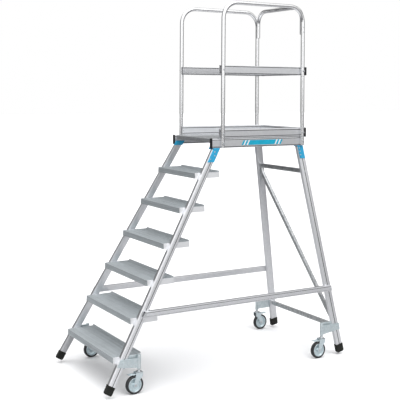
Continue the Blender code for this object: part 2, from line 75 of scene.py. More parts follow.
def set_sockets(tree, node, sockets):
    for key, value in sockets.items():
        if isinstance(value, bpy.types.NodeSocket):
            tree.links.new(value, node.inputs[key])
        else:
            node.inputs[key].default_value = value


def new_group(name, kind, inputs, outputs):
    """An empty node group, with its group input and group output nodes."""
    group = bpy.data.node_groups.new(name, kind)
    new_socket = group.interface.new_socket
    for label, socket_type, default in inputs:
        socket = new_socket(label, in_out="INPUT", socket_type="NodeSocket" + socket_type)
        if default is not None:
            socket.default_value = default
    for label, socket_type in outputs:
        new_socket(label, in_out="OUTPUT", socket_type="NodeSocket" + socket_type)
    given = group.nodes.new("NodeGroupInput").outputs
    return group, given, group.nodes.new("NodeGroupOutput").inputs


def math_node(tree, operation, first, second=0.0, clamp=False):
    sockets = {0: first, 1: second}
    return add_node(tree, "ShaderNodeMath", sockets, operation=operation, use_clamp=clamp).outputs[0]


def times(tree, first, second, clamp=False):
    return math_node(tree, "MULTIPLY", first, second, clamp)


def plus(tree, first, second, clamp=False):
    return math_node(tree, "ADD", first, second, clamp)


def mix_colours(tree, factor, first, second, blend="MIX"):
    sockets = {0: factor, 6: first, 7: second}
    return add_node(tree, "ShaderNodeMix", sockets, data_type="RGBA", blend_type=blend).outputs[2]


def tinted(tree, tint, shade):
    """A colour made lighter or darker by a shade near 1."""
    grey = add_node(tree, "ShaderNodeCombineColor", {"Red": shade, "Green": shade, "Blue": shade})
    return mix_colours(tree, 1.0, tint, grey.outputs[0], "MULTIPLY")


def noise(tree, vector, scale, detail):
    sockets = {"Vector": vector, "Scale": scale, "Detail": detail}
    return add_node(tree, "ShaderNodeTexNoise", sockets).outputs[0]


def ramp(tree, factor, low, high, to_low=0.0, to_high=1.0):
    sockets = {"Value": factor, "From Min": low, "From Max": high, "To Min": to_low, "To Max": to_high}
    return add_node(tree, "ShaderNodeMapRange", sockets).outputs[0]


def make_edge_wear():
    """Mask that is 1 along worn outside edges, broken up so that no edge is worn evenly."""
    inputs = [("Vector", "Vector", None)]
    tree, given, result = new_group("edge_wear", "ShaderNodeTree", inputs, [("Wear", "Float")])
    pointed = add_node(tree, "ShaderNodeNewGeometry").outputs["Pointiness"]
    broken = ramp(tree, noise(tree, given["Vector"], 46.0, 4.0), 0.35, 0.62)
    tree.links.new(times(tree, ramp(tree, pointed, 0.52, 0.60), broken), result["Wear"])
    return tree


def make_metal_grain(edge_wear):
    """Drawn metal: fine streaks along the part, slow cloudiness, stray scratches, bright edges."""
    inputs = [("Vector", "Vector", None), ("Frequency", "Vector", (300.0, 300.0, 8.0))]
    inputs += [("Tint", "Color", (0.8, 0.8, 0.8, 1.0)), ("Contrast", "Float", 0.12)]
    inputs += [("Roughness", "Float", 0.35), ("Wear", "Float", 0.35)]
    tree, given, result = new_group("metal_grain", "ShaderNodeTree", inputs, FINISH_OUTPUTS)
    place = given["Vector"]
    sockets = {0: place, 1: given["Frequency"]}
    stretched = add_node(tree, "ShaderNodeVectorMath", sockets, operation="MULTIPLY")
    streak = noise(tree, stretched.outputs[0], 1.0, 3.0)
    cloud = noise(tree, place, 5.0, 5.0)
    sockets = {"Vector": place, "Scale": 34.0, "Randomness": 1.0}
    cells = add_node(tree, "ShaderNodeTexVoronoi", sockets, feature="DISTANCE_TO_EDGE")
    scratch = ramp(tree, cells.outputs["Distance"], 0.0, 0.012, 1.0, 0.0)
    scratched = times(tree, scratch, ramp(tree, cloud, 0.52, 0.62), clamp=True)
    tone = times(tree, streak, 0.6)
    tone = plus(tree, tone, times(tree, cloud, 0.4))
    lift = times(tree, math_node(tree, "SUBTRACT", tone, 0.5), given["Contrast"])
    shade = plus(tree, lift, 1.0)
    shade = math_node(tree, "SUBTRACT", shade, times(tree, scratched, 0.10))
    toned = tinted(tree, given["Tint"], shade)
    worn = add_node(tree, "ShaderNodeGroup", node_tree=edge_wear)
    tree.links.new(place, worn.inputs["Vector"])
    faint = times(tree, worn.outputs["Wear"], given["Wear"])
    tree.links.new(mix_colours(tree, faint, toned, (0.92, 0.93, 0.94, 1.0)), result["Color"])
    rough = plus(tree, given["Roughness"], times(tree, lift, -1.2))
    rough = plus(tree, rough, times(tree, scratched, 0.15), clamp=True)
    tree.links.new(rough, result["Roughness"])
    deep = math_node(tree, "SUBTRACT", streak, times(tree, scratched, 0.8))
    tree.links.new(deep, result["Height"])
    return tree


def new_material(name, group, values, bump, bump_depth, turn=(0.0, 0.0, 0.0)):
    """Material whose colour, roughness and relief come from a group given these input values."""
    material = bpy.data.materials.new(name)
    material.use_nodes = True
    tree = material.node_tree
    shader = tree.nodes["Principled BSDF"]
    place = add_node(tree, "ShaderNodeTexCoord").outputs["Object"]
    if any(turn):
        sockets = {"Vector": place, "Rotation": [math.radians(angle) for angle in turn]}
        place = add_node(tree, "ShaderNodeMapping", sockets).outputs[0]
    finish = add_node(tree, "ShaderNodeGroup", node_tree=group)
    set_sockets(tree, finish, {"Vector": place, **values})
    for label, target in (("Color", "Base Color"), ("Roughness", "Roughness")):
        tree.links.new(finish.outputs[label], shader.inputs[target])
    sockets = {"Height": finish.outputs["Height"], "Strength": bump, "Distance": bump_depth}
    relief = add_node(tree, "ShaderNodeBump", sockets)
    tree.links.new(relief.outputs[0], shader.inputs["Normal"])
    return material, shader


def make_metal(name, tint, roughness, frequency, turn=(0.0, 0.0, 0.0), metallic=0.95, bump=0.10, **grain):
    """A metal with streaks along the axis of its lowest frequency, turned to follow a sloping part."""
    values = {"Tint": (*tint, 1.0), "Roughness": roughness, "Frequency": frequency}
    values["Contrast"] = grain.get("contrast", 0.12)
    values["Wear"] = grain.get("wear", 0.35)
    material, shader = new_material(name, METAL_GRAIN, values, bump, 0.0004, turn)
    shader.inputs["Metallic"].default_value = metallic
    return material


def rounded(outline, radii, steps=3):
    """The closed outline of (u, v) points with each corner turned into an arc of its radius."""
    points = []
    for i, (here, radius) in enumerate(zip(outline, radii)):
        corner = Vector(here)
        if not radius:
            points.append(tuple(corner))
            continue
        before = (Vector(outline[i - 1]) - corner).normalized()
        after = (Vector(outline[(i + 1) % len(outline)]) - corner).normalized()
        half = before.angle(after) / 2
        centre = corner + (before + after).normalized() * radius / math.sin(half)
        first = corner + before * radius / math.tan(half) - centre
        last = corner + after * radius / math.tan(half) - centre
        start = math.atan2(first.y, first.x)
        sweep = (math.atan2(last.y, last.x) - start + math.pi) % (2 * math.pi) - math.pi
        for k in range(steps + 1):
            angle = start + sweep * k / steps
            points.append((centre.x + radius * math.cos(angle), centre.y + radius * math.sin(angle)))
    return points


def add_object(name, data):
    """An object in the scene that holds this data."""
    made = bpy.data.objects.new(name, data)
    bpy.context.scene.collection.objects.link(made)
    return made


def take_mesh(name, bm):
    """The mesh built up in bm, which is used up."""
    mesh = bpy.data.meshes.new(name)
    bm.to_mesh(mesh)
    bm.free()
    return mesh


def bridge(bm, rings, closed=False):
    """Quads between each ring of vertices and the next."""
    pairs = list(zip(rings, rings[1:]))
    if closed:
        pairs.append((rings[-1], rings[0]))
    faces = []
    for first, second in pairs:
        for i in range(len(first)):
            j = (i + 1) % len(first)
            faces.append(bm.faces.new((first[i], first[j], second[j], second[i])))
    return faces


def cap_ends(bm, rings):
    """Closed solid through the rings."""
    bridge(bm, rings)
    bm.faces.new(rings[0])
    bm.faces.new(rings[-1])


def extrude(bm, outline, places, wall=0.0, in_groove=None):
    """Length of a section through the given places, each a function from (u, v) to a point.

    Outside faces for which in_groove(u, v) holds take the piece's second material.
    """
    rings = [[bm.verts.new(place(u, v)) for u, v in outline] for place in places]
    if not wall:
        cap_ends(bm, rings)
        return
    u_low, u_high = min(u for u, v in outline) + wall, max(u for u, v in outline) - wall
    v_low, v_high = min(v for u, v in outline) + wall, max(v for u, v in outline) - wall
    bore = [(min(max(u, u_low), u_high), min(max(v, v_low), v_high)) for u, v in outline]
    inner = [[bm.verts.new(place(u, v)) for u, v in bore] for place in reversed(places)]
    faces = bridge(bm, rings + inner, closed=True)
    if in_groove:
        for i, face in enumerate(faces[: len(outline)]):
            (u, v), (next_u, next_v) = outline[i], outline[(i + 1) % len(outline)]
            face.material_index = int(in_groove((u + next_u) / 2, (v + next_v) / 2))


def add_piece(name, bm, material, body, stands_for=(), sharp=32.0):
    """The mesh in bm as a finished piece that rides on a body, given its material."""
    bmesh.ops.remove_doubles(bm, verts=bm.verts, dist=1e-6)
    bmesh.ops.dissolve_degenerate(bm, edges=bm.edges, dist=1e-7)
    bmesh.ops.recalc_face_normals(bm, faces=bm.faces)
    return add_mesh_piece(name, take_mesh(name, bm), material, body, stands_for, sharp)


def add_mesh_piece(name, mesh, material, body, stands_for=(), sharp=32.0):
    mesh.shade_smooth()
    mesh.set_sharp_from_angle(angle=math.radians(sharp))
    if mesh.materials:
        mesh.materials.clear()
    for each in material if isinstance(material, tuple) else (material,):
        mesh.materials.append(each)
    piece = add_object(name, mesh)
    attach(piece, body)
    if stands_for:
        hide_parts(*stands_for)
    return piece


def soften(piece, width, segments=2):
    """Small rounding on every sharp edge of a piece."""
    bevel = piece.modifiers.new("rounding", "BEVEL")
    bevel.width = width
    bevel.segments = segments
    bevel.limit_method = "ANGLE"
    bevel.angle_limit = math.radians(35)


def leg_line(node, lean):
    """Function from (u, v, z) to a point: u behind the leg's centre line, v in from its outside."""
    low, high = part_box(node)
    side = 1 if low.y + high.y > 0 else -1
    half = LEG_WIDTH / 2
    bottom_x, top_x = (low.x + half, high.x - half) if lean > 0 else (high.x - half, low.x + half)
    bottom_y = max(abs(low.y), abs(high.y))
    top_y = min(abs(low.y), abs(high.y)) + LEG_THICKNESS

    def place(u, v, z):
        rise = (z - low.z) / (high.z - low.z)
        x = bottom_x + (top_x - bottom_x) * rise + u
        y = bottom_y + (top_y - bottom_y) * rise - v
        return Vector((x, side * y, z))

    return place


def level(line, z):
    """Place at one height on a leg line, for an extrusion that starts or ends there."""
    return lambda u, v: line(u, v, z)


LINES = {}
for kind, lean in LEANS.items():
    for word in SIDES:
        LINES[f"{kind}_{word}"] = leg_line(f"{kind}_{word}", lean)


def leg_outline(groove):
    """Section of a leg as (u, v) points, with one groove in its outside face."""
    half = LEG_WIDTH / 2
    points = [(-half, 0.0), (groove - GROOVE_HALF, 0.0)]
    points += [(groove - GROOVE_HALF / 2, GROOVE_DEPTH), (groove + GROOVE_HALF / 2, GROOVE_DEPTH)]
    points += [(groove + GROOVE_HALF, STEP_BACK), (half, STEP_BACK)]
    points += [(half, LEG_THICKNESS), (-half, LEG_THICKNESS)]
    return rounded(points, [0.0035, 0.0004, 0.0, 0.0, 0.0004, 0.0030, 0.0022, 0.0022])


METAL_GRAIN = make_metal_grain(make_edge_wear())
ALUMINIUM = (0.80, 0.81, 0.835)
ALONG_X, ALONG_Y, ALONG_Z = (5.0, 260.0, 260.0), (260.0, 5.0, 260.0), (260.0, 260.0, 5.0)
# Groove floors are tinted near black: painted shade standing in for the shadow that falls inside each
# groove.
GROOVE_SHADE_TINT = (0.055, 0.057, 0.062)
GROOVE_PAINTED_SHADE = make_metal("groove_painted_shade", GROOVE_SHADE_TINT, 0.65, (120.0,) * 3, metallic=0.3, wear=0.0)
LEG_METAL = {
    "stile": make_metal("satin_stile", ALUMINIUM, 0.34, ALONG_Z, (0.0, -30.0, 0.0)),
    "rear_leg": make_metal("satin_rear_leg", ALUMINIUM, 0.34, ALONG_Z, (0.0, 10.0, 0.0)),
}
for node, line in LINES.items():
    kind = node.rsplit("_", 1)[0]
    low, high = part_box(node)
    shape = bmesh.new()
    groove = GROOVE_AT[kind]

    # Faces in the groove take the near-black painted groove shade.
    def in_leg_groove(u, v, groove=groove):
        return abs(u - groove) < GROOVE_HALF and 0.0004 < v < LEG_THICKNESS / 2

    ends = [level(line, low.z), level(line, high.z)]
    extrude(shape, leg_outline(groove), ends, LEG_WALL, in_leg_groove)
    add_piece(node + "_extrusion", shape, (LEG_METAL[kind], GROOVE_PAINTED_SHADE), "frame", [node])

# ----------------------------------------------------------------------
# Boots: a black rubber boot pushed over the end of each leg, moulded with a rolled lip at the
# mouth, three shallow grip ribs and a crowned sole. Friction and a barb inside hold it on.

BOOT_WALL = 0.0035
BOOT_RIBS = (0.30, 0.46, 0.62)
SOLE_PROFILE = ((0.0, 0.0065), (0.05, 0.0035), (0.12, 0.0015), (0.20, 0.0))


def make_moulded_finish():
    """Moulded rubber or plastic: fine pitted skin, uneven sheen, dust that settles on top."""
    inputs = [("Vector", "Vector", None), ("Tint", "Color", (0.02, 0.02, 0.02, 1.0))]
    inputs += [("Fineness", "Float", 900.0), ("Dust", "Float", 0.2), ("Roughness", "Float", 0.6)]
    tree, given, result = new_group("moulded_finish", "ShaderNodeTree", inputs, FINISH_OUTPUTS)
    place = given["Vector"]
    skin = noise(tree, place, given["Fineness"], 3.0)
    cloud = noise(tree, place, 28.0, 5.0)
    normal = add_node(tree, "ShaderNodeNewGeometry").outputs["Normal"]
    upward = add_node(tree, "ShaderNodeSeparateXYZ", {0: normal}).outputs["Z"]
    patches = ramp(tree, cloud, 0.35, 0.7)
    settled = times(tree, ramp(tree, upward, 0.1, 1.0), patches)
    dust = times(tree, settled, given["Dust"], clamp=True)
    toned = tinted(tree, given["Tint"], ramp(tree, cloud, 0.2, 0.8, 0.86, 1.14))
    tree.links.new(mix_colours(tree, dust, toned, (0.42, 0.40, 0.37, 1.0)), result["Color"])
    uneven = ramp(tree, cloud, 0.2, 0.8, -0.07, 0.07)
    rough = plus(tree, plus(tree, given["Roughness"], uneven), dust, clamp=True)
    tree.links.new(rough, result["Roughness"])
    tree.links.new(skin, result["Height"])
    return tree


MOULDED_FINISH = make_moulded_finish()


def make_moulded(name, tint, roughness, fineness, dust, bump=0.12):
    values = {"Tint": (*tint, 1.0), "Roughness": roughness, "Fineness": fineness, "Dust": dust}
    return new_material(name, MOULDED_FINISH, values, bump, 0.0003)[0]


BOOT_RUBBER = make_moulded("boot_rubber", (0.004, 0.005, 0.003), 0.80, 700.0, 0.02)


def boot_outline(inset):
    half = LEG_WIDTH / 2 + BOOT_WALL - inset
    low, high = inset - BOOT_WALL, LEG_THICKNESS + BOOT_WALL - inset
    return rounded([(-half, low), (half, low), (half, high), (-half, high)], [0.006 - inset / 2] * 4, 4)


def boot_stations():
    """(share of the boot's length, inset) from the sole to the lip."""
    stations = list(SOLE_PROFILE)
    for rib in BOOT_RIBS:
        stations += [(rib - 0.03, 0.0), (rib, 0.0012), (rib + 0.03, 0.0)]
    return stations + [(0.86, 0.0), (0.89, -0.0009), (0.98, -0.0009), (1.0, 0.0004)]


for node, line in LINES.items():
    kind, word = node.rsplit("_", 1)
    foot = f"foot_{END_OF[kind]}_{word}"
    low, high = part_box(foot)
    lean = (line(0, 0, 1.0) - line(0, 0, 0.0)).x
    drop = (LEG_WIDTH / 2 + BOOT_WALL) * abs(lean) / (1 + lean**2)
    sole_z, lip_z = low.z + drop, high.z - drop
    shape = bmesh.new()
    rings = []
    for share, inset in boot_stations():
        middle = sole_z + (lip_z - sole_z) * share
        points = [line(u, v, middle - u * lean / (1 + lean**2)) for u, v in boot_outline(inset)]
        rings.append([shape.verts.new(point) for point in points])
    cap_ends(shape, rings)
    add_piece(foot + "_boot", shape, BOOT_RUBBER, "frame", [foot], sharp=50.0)

# ----------------------------------------------------------------------
# Treads: six deep trays of ribbed aluminium extrusion with a square nose and a raised lip along
# the back. The ends are closed by bright cast plates, which are screwed to the stiles.

TREAD_WALL = 0.003
TREAD_HEIGHT = 0.040
TREAD_LIP = 0.010
PLATE_THICKNESS = 0.0035
RIB_WIDTH = 0.0034
RIB_HEIGHT = 0.0014
RIB_PITCH = 0.0088
RIB_INSET = 0.010
RIB_GAP = 0.001
STEP_COUNT = 6
# Treads are tinted darker than the other aluminium and given strong streaks along their length: painted
# shade of the ribbed top, the streaks drawing the ribs' shade as lines.
TREAD_GRAIN_AND_RIB_SHADE = {"contrast": 0.95, "metallic": 0.45, "bump": 0.04, "wear": 0.05}
TREAD_METAL_AND_SHADE = make_metal("tread_metal", (0.42, 0.455, 0.475), 0.50, (55.0, 1.5, 90.0), **TREAD_GRAIN_AND_RIB_SHADE)
PLATE_METAL = make_metal("cast_plate", (0.86, 0.87, 0.89), 0.42, (90.0,) * 3, contrast=0.10)
STILE_LINE = LINES["stile_left"]


def between_stiles(z):
    """Half the clear width between the stiles at height z."""
    return STILE_LINE(0.0, LEG_THICKNESS + GAP, z).y


def tread_outline(depth):
    """Side view of the tray, nose at (0, 0) on top, with grip grooves in its nose."""
    wall, low = TREAD_WALL, -TREAD_HEIGHT
    nose = [(0.0, low), (0.0, -0.0290), (0.0012, -0.0275), (0.0012, -0.0245), (0.0, -0.0230)]
    nose += [(0.0, -0.0150), (0.0012, -0.0135), (0.0012, -0.0105), (0.0, -0.0090), (0.0, -0.0035)]
    top = [(0.0010, -0.0010), (0.0035, 0.0), (depth - 0.016, 0.0), (depth - 0.008, 0.0030)]
    lip = [(depth - wall, TREAD_LIP), (depth - 0.0008, TREAD_LIP)]
    lip += [(depth, TREAD_LIP - 0.0008), (depth, low)]
    under = [(depth - 0.014, low), (depth - 0.014, low + wall), (depth - wall, low + wall)]
    under += [(depth - wall, -wall), (wall, -wall), (wall, low + wall)]
    under += [(0.014, low + wall), (0.014, low)]
    return nose + top + lip + under


def across(centre_x, top_z, side, inset):
    """Place at one end of a tread: the end follows the splay of the stiles."""

    def place(u, v):
        z = top_z + v
        return Vector((centre_x + u, side * (between_stiles(z) - inset), z))

    return place


def new_geometry_tree(name, inputs):
    """Geometry tree that takes a mesh, some inputs of its own and a material."""
    inputs = [("Geometry", "Geometry", None), *inputs, ("Material", "Material", None)]
    return new_group(name, "GeometryNodeTree", inputs, [("Geometry", "Geometry")])


def end_tree(tree, given, result, last):
    """Makes what the last node puts out real, and gives it the material."""
    real = add_node(tree, "GeometryNodeRealizeInstances", {"Geometry": last.outputs[0]})
    sockets = {"Geometry": real.outputs[0], "Material": given["Material"]}
    painted = add_node(tree, "GeometryNodeSetMaterial", sockets)
    tree.links.new(painted.outputs[0], result["Geometry"])
    return tree


def make_row_tree():
    """Copies of a bar, set out in a row along X."""
    inputs = [("Count", "Int", 20), ("Pitch", "Float", RIB_PITCH)]
    tree, given, result = new_geometry_tree("ribbing", inputs)
    step = add_node(tree, "ShaderNodeCombineXYZ", {"X": given["Pitch"]})
    sockets = {"Count": given["Count"], "Offset": step.outputs[0]}
    row = add_node(tree, "GeometryNodeMeshLine", sockets)
    sockets = {"Points": row.outputs[0], "Instance": given["Geometry"]}
    return end_tree(tree, given, result, add_node(tree, "GeometryNodeInstanceOnPoints", sockets))


def bake_tree(tree, mesh, values):
    """Plain mesh made by running a geometry tree on a mesh, its named inputs set first."""
    holder = add_object("holder", mesh)
    modifier = holder.modifiers.new(tree.name, "NODES")
    modifier.node_group = tree
    for item in tree.interface.items_tree:
        if item.in_out == "INPUT" and item.name in values:
            modifier[item.identifier] = values[item.name]
    graph = bpy.context.evaluated_depsgraph_get()
    made = bpy.data.meshes.new_from_object(holder.evaluated_get(graph))
    bpy.data.objects.remove(holder)
    return made


ROW_TREE = make_row_tree()


def along_y(y):
    """Place for an extrusion that starts or ends square at y."""
    return lambda u, v: Vector((u, y, v))


def add_ribs(bm, top_z, x_low, x_high, reach):
    """A run of rounded grip ribs over a tread or deck, each reaching this far to both sides."""
    rib = bmesh.new()
    half, height = RIB_WIDTH / 2, RIB_HEIGHT
    section = [(-half, -0.0004), (half, -0.0004), (half * 0.8, height * 0.7), (half * 0.4, height)]
    section += [(-half * 0.4, height), (-half * 0.8, height * 0.7)]
    section = [(x_low + u, top_z + v) for u, v in section]
    extrude(rib, section, [along_y(-reach), along_y(reach)])
    count = int((x_high - x_low) / RIB_PITCH) + 1
    # The ribs take the tread metal, with its painted shade.
    values = {"Count": count, "Pitch": RIB_PITCH, "Material": TREAD_METAL_AND_SHADE}
    bm.from_mesh(bake_tree(ROW_TREE, take_mesh("rib", rib), values))


for step in range(STEP_COUNT):
    node = f"tread_{step + 1}"
    low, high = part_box(node)
    depth, top_z = high.x - low.x, high.z - TREAD_LIP
    shape = bmesh.new()
    ends = [across(low.x, top_z, side, PLATE_THICKNESS) for side in (-1, 1)]
    extrude(shape, tread_outline(depth), ends)
    reach = between_stiles(top_z) - PLATE_THICKNESS - RIB_GAP
    add_ribs(shape, top_z, low.x + RIB_INSET, high.x - 2 * RIB_INSET, reach)
    add_piece(node + "_tray", shape, TREAD_METAL_AND_SHADE, "frame", [node])
    plates = bmesh.new()
    corners = [(0.0, -TREAD_HEIGHT), (depth, -TREAD_HEIGHT), (depth, -0.001), (0.0, 0.0)]
    outline = rounded(corners, [0.003, 0.003, 0.002, 0.004])
    for side in (-1, 1):
        ends = [across(low.x, top_z, side, inset) for inset in (0.0, PLATE_THICKNESS)]
        extrude(plates, outline, ends)
    soften(add_piece(node + "_end_plates", plates, PLATE_METAL, "frame"), 0.0005)

# ----------------------------------------------------------------------
# Platform: two rectangular beams carry a ribbed deck between them. Each beam is a hollow
# extrusion with a bead along its edges, and its front end is plugged with a black cap.

BEAD = 0.0012
BEAD_RADIUS = 0.0015
BEAM_GROOVES = [(0.0055, 0.0100, BEAD), (0.0570, 0.0610, BEAD)]
CAP_FRONT = 0.0125
CAP_SEAT = 0.0085
DECK_WALL = 0.0025
DECK_MARGIN = 0.004
BEAM_METAL = make_metal("satin_beam", ALUMINIUM, 0.34, ALONG_X)
BLACK_PLASTIC = make_moulded("black_cap", (0.014, 0.014, 0.016), 0.45, 500.0, 0.08)


def bead_outline(low, high, grooves, inner=True):
    """Upright rectangle of (y, z) points with level grooves in its outer face, and its inner one."""
    points, radii = [(low[0], low[1]), (high[0], low[1])], [BEAD_RADIUS] * 2
    for z_low, z_high, depth in grooves:
        points += [(high[0], z_low), (high[0] - depth, z_low + depth)]
        points += [(high[0] - depth, z_high - depth), (high[0], z_high)]
        radii += [0.0] * 4
    points += [(high[0], high[1]), (low[0], high[1])]
    radii += [BEAD_RADIUS] * 2
    for z_low, z_high, depth in reversed(grooves if inner else []):
        points += [(low[0], z_high), (low[0] + depth, z_high - depth)]
        points += [(low[0] + depth, z_low + depth), (low[0], z_low)]
        radii += [0.0] * 4
    return rounded(points, radii)


def in_rows(low, high, grooves):
    """Test of whether a point of a grooved outline lies in one of its grooves."""

    def test(u, v):
        sunk = min(u - low[0], high[0] - u) > BEAD / 4
        return sunk and any(z_low < v < z_high for z_low, z_high, _ in grooves)

    return test


def along_x(x, side):
    return lambda u, v: Vector((x, side * u, v))


def add_grooved(node, corners, ends, material, grooves, inner=True):
    """Grooved hollow extrusion from end to end, with its section between two corners."""
    base = corners[0][1]
    rows = [(base + z_low, base + z_high, depth) for z_low, z_high, depth in grooves]
    shape = bmesh.new()
    # Faces in the grooves take the near-black painted groove shade.
    extrude(shape, bead_outline(*corners, rows, inner), ends, LEG_WALL, in_rows(*corners, rows))
    add_piece(node + "_extrusion", shape, (material, GROOVE_PAINTED_SHADE), "frame", [node])


def section_of(node):
    """Corners of the section of a bar that runs along X, and the side of the stand it is on."""
    low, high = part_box(node)
    inner, outer = sorted((abs(low.y), abs(high.y)))
    return ((inner, low.z), (outer, high.z)), 1 if low.y > 0 else -1


def add_board(node, material, grooves, longer=0.0):
    """Length of grooved rectangular extrusion in place of a side board or beam."""
    low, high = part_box(node)
    corners, side = section_of(node)
    add_grooved(node, corners, [along_x(low.x - longer, side), along_x(high.x, side)], material, grooves)


def add_box(bm, low, high, radius=0.0, axis=0):
    """Block between two corners, rounded about one axis."""
    u, v = [i for i in range(3) if i != axis]
    corners = [(low[u], low[v]), (high[u], low[v]), (high[u], high[v]), (low[u], high[v])]
    outline = rounded(corners, [radius] * 4) if radius else corners

    def at(level_value):
        def place(a, b):
            point = Vector((level_value,) * 3)
            point[u], point[v] = a, b
            return point

        return place

    extrude(bm, outline, [at(low[axis]), at(high[axis])])


for word, side in SIDES.items():
    beam = f"platform_beam_{word}"
    add_board(beam, BEAM_METAL, BEAM_GROOVES, CAP_SEAT)
    low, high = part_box(beam)
    shape = bmesh.new()
    front = (low.x - CAP_FRONT, low.y - 0.001, low.z - 0.003)
    back = (low.x - CAP_SEAT + 0.001, high.y + 0.001, high.z + 0.006)
    add_box(shape, front, back, 0.004)
    soften(add_piece(f"beam_cap_{word}", shape, BLACK_PLASTIC, "frame"), 0.0015, 3)

deck_low, deck_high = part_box("platform_deck")
shape = bmesh.new()
wall = DECK_WALL
depth, height = deck_high.x - deck_low.x, deck_high.z - deck_low.z
outline = [(0.0, -height), (0.0, -0.002), (0.002, 0.0), (depth - 0.002, 0.0), (depth, -0.002)]
outline += [(depth, -height), (depth - wall, -height), (depth - wall, -wall)]
outline += [(wall, -wall), (wall, -height)]
outline = [(deck_low.x + u, deck_high.z + v) for u, v in outline]
extrude(shape, outline, [along_y(deck_low.y), along_y(deck_high.y)])
reach = deck_high.y - DECK_MARGIN
add_ribs(shape, deck_high.z, deck_low.x + RIB_INSET, deck_high.x - RIB_INSET, reach)
DECK_GRAIN = {"contrast": 0.2, "bump": 0.2}
DECK_METAL = make_metal("deck_metal", (0.62, 0.64, 0.66), 0.40, (240.0, 4.0, 240.0), **DECK_GRAIN)
add_piece("platform_deck_tray", shape, DECK_METAL, "frame", ["platform_deck"])

# ----------------------------------------------------------------------
# Edge band: a printed vinyl band on the outside of the near beam, cyan with two white slashes
# at each end. It is a thin film stuck flat on the extrusion.

BAND_SPAN = (0.153, 0.513)
BAND_Z = (1.647, 1.683)
SLASH_WIDTH = 0.013
SLASHES = (0.015, 0.044, 0.300, 0.331)
VINYL, BAND_PROUD, SLASH_PROUD = 0.0004, 0.0003, 0.00045
BAND_BLUE = make_moulded("band_vinyl", (0.0, 0.40, 0.60), 0.42, 300.0, 0.02, 0.03)
BAND_WHITE = make_moulded("slash_vinyl", (0.86, 0.88, 0.90), 0.40, 300.0, 0.05, 0.03)
face_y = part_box("platform_beam_right")[0].y


def add_slanted(bm, x_low, x_high, y_outer):
    """Flat parallelogram of vinyl on the band's height."""
    low, high = BAND_Z
    lean = 0.5 * (high - low)
    corners = [(x_low, low), (x_high, low), (x_high + lean, high), (x_low + lean, high)]
    extrude(bm, corners, [along_y(y_outer), along_y(y_outer + VINYL)])


shape = bmesh.new()
add_slanted(shape, *BAND_SPAN, face_y - BAND_PROUD)
add_piece("edge_band", shape, BAND_BLUE, "frame")
shape = bmesh.new()
for start in SLASHES:
    x = BAND_SPAN[0] + start
    add_slanted(shape, x, x + SLASH_WIDTH, face_y - SLASH_PROUD)
add_piece("edge_band_slashes", shape, BAND_WHITE, "frame")

# ----------------------------------------------------------------------
# Corner brackets: glass-filled nylon mouldings in bright blue that join each leg to its beam.
# A cheek runs down the outside of the leg and a tab stands up inside the beam, both screwed.

CHEEK = 0.0075
TAB = 0.007
BLUE_NYLON = make_moulded("blue_nylon", (0.020, 0.37, 0.64), 0.42, 650.0, 0.08, 0.10)
CHEEK_X = {"front": (-0.024, 0.030), "rear": (-0.024, 0.024)}
TAB_X = {"front": (-0.044, 0.031), "rear": (-0.031, 0.031)}


def add_strip(bm, section, line, x_span):
    """Prism whose ends follow a leg: section of (v, z) points, v in from the leg's outside."""
    rings = [[bm.verts.new(line(u, v, z)) for v, z in section] for u in x_span]
    cap_ends(bm, rings)


for node, line in LINES.items():
    kind, word = node.rsplit("_", 1)
    end = END_OF[kind]
    bracket = f"corner_bracket_{end}_{word}"
    low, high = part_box(bracket)
    side = SIDES[word]
    leg_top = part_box(node)[1].z + GAP
    beam_low, beam_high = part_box(f"platform_beam_{word}")
    web_top = beam_low.z - GAP
    tab_y = min(abs(beam_low.y), abs(beam_high.y)) - GAP
    shape = bmesh.new()

    def inwards(y, z, line=line, side=side):
        """How far in from the leg's outside a point at y lies."""
        return (line(0.0, 0.0, z).y * side - y, z)

    cheek = [(-GAP, low.z), (-CHEEK, low.z), (-CHEEK, web_top), inwards(tab_y, web_top)]
    cheek += [inwards(tab_y, leg_top), (-GAP, leg_top)]
    add_strip(shape, cheek, line, CHEEK_X[end])
    tab = [inwards(tab_y, leg_top), inwards(tab_y, high.z)]
    tab += [inwards(tab_y - TAB, high.z), inwards(tab_y - TAB, leg_top)]
    add_strip(shape, tab, line, TAB_X[end])
    piece = add_piece(bracket + "_moulding", shape, BLUE_NYLON, "frame", [bracket])
    soften(piece, 0.0016, 3)

# ----------------------------------------------------------------------
# Guard rail: two inverted U frames of 30 mm round aluminium tube stand outside the beams, and a
# third tube across the back has its ends cut to hug the rear posts, where it is riveted.

FRAME_BEND = 0.120
REAR_BEND = 0.100
REAR_INSET = 0.0135
BEND_STEPS = 14
TUBE_GRAIN = {"contrast": 0.06, "metallic": 1.0, "bump": 0.02, "wear": 0.0}
TUBE_METAL = make_metal("tube_metal", (0.94, 0.945, 0.955), 0.20, (200.0, 200.0, 5.0), **TUBE_GRAIN)


def make_tube_tree():
    """Round tube along a bent line, its corners filleted and its ends closed."""
    inputs = [("Radius", "Float", 0.015), ("Bend", "Float", 0.1), ("Sides", "Int", 32)]
    tree, given, result = new_geometry_tree("bent_tube", inputs)
    path = add_node(tree, "GeometryNodeMeshToCurve", {"Mesh": given["Geometry"]})
    sockets = {"Curve": path.outputs[0], "Radius": given["Bend"], "Count": BEND_STEPS}
    fillet = add_node(tree, "GeometryNodeFilletCurve", sockets, mode="POLY")
    sockets = {"Resolution": given["Sides"], "Radius": given["Radius"]}
    circle = add_node(tree, "GeometryNodeCurvePrimitiveCircle", sockets)
    sockets = {"Curve": fillet.outputs[0], "Profile Curve": circle.outputs[0], "Fill Caps": True}
    return end_tree(tree, given, result, add_node(tree, "GeometryNodeCurveToMesh", sockets))


TUBE_TREE = make_tube_tree()


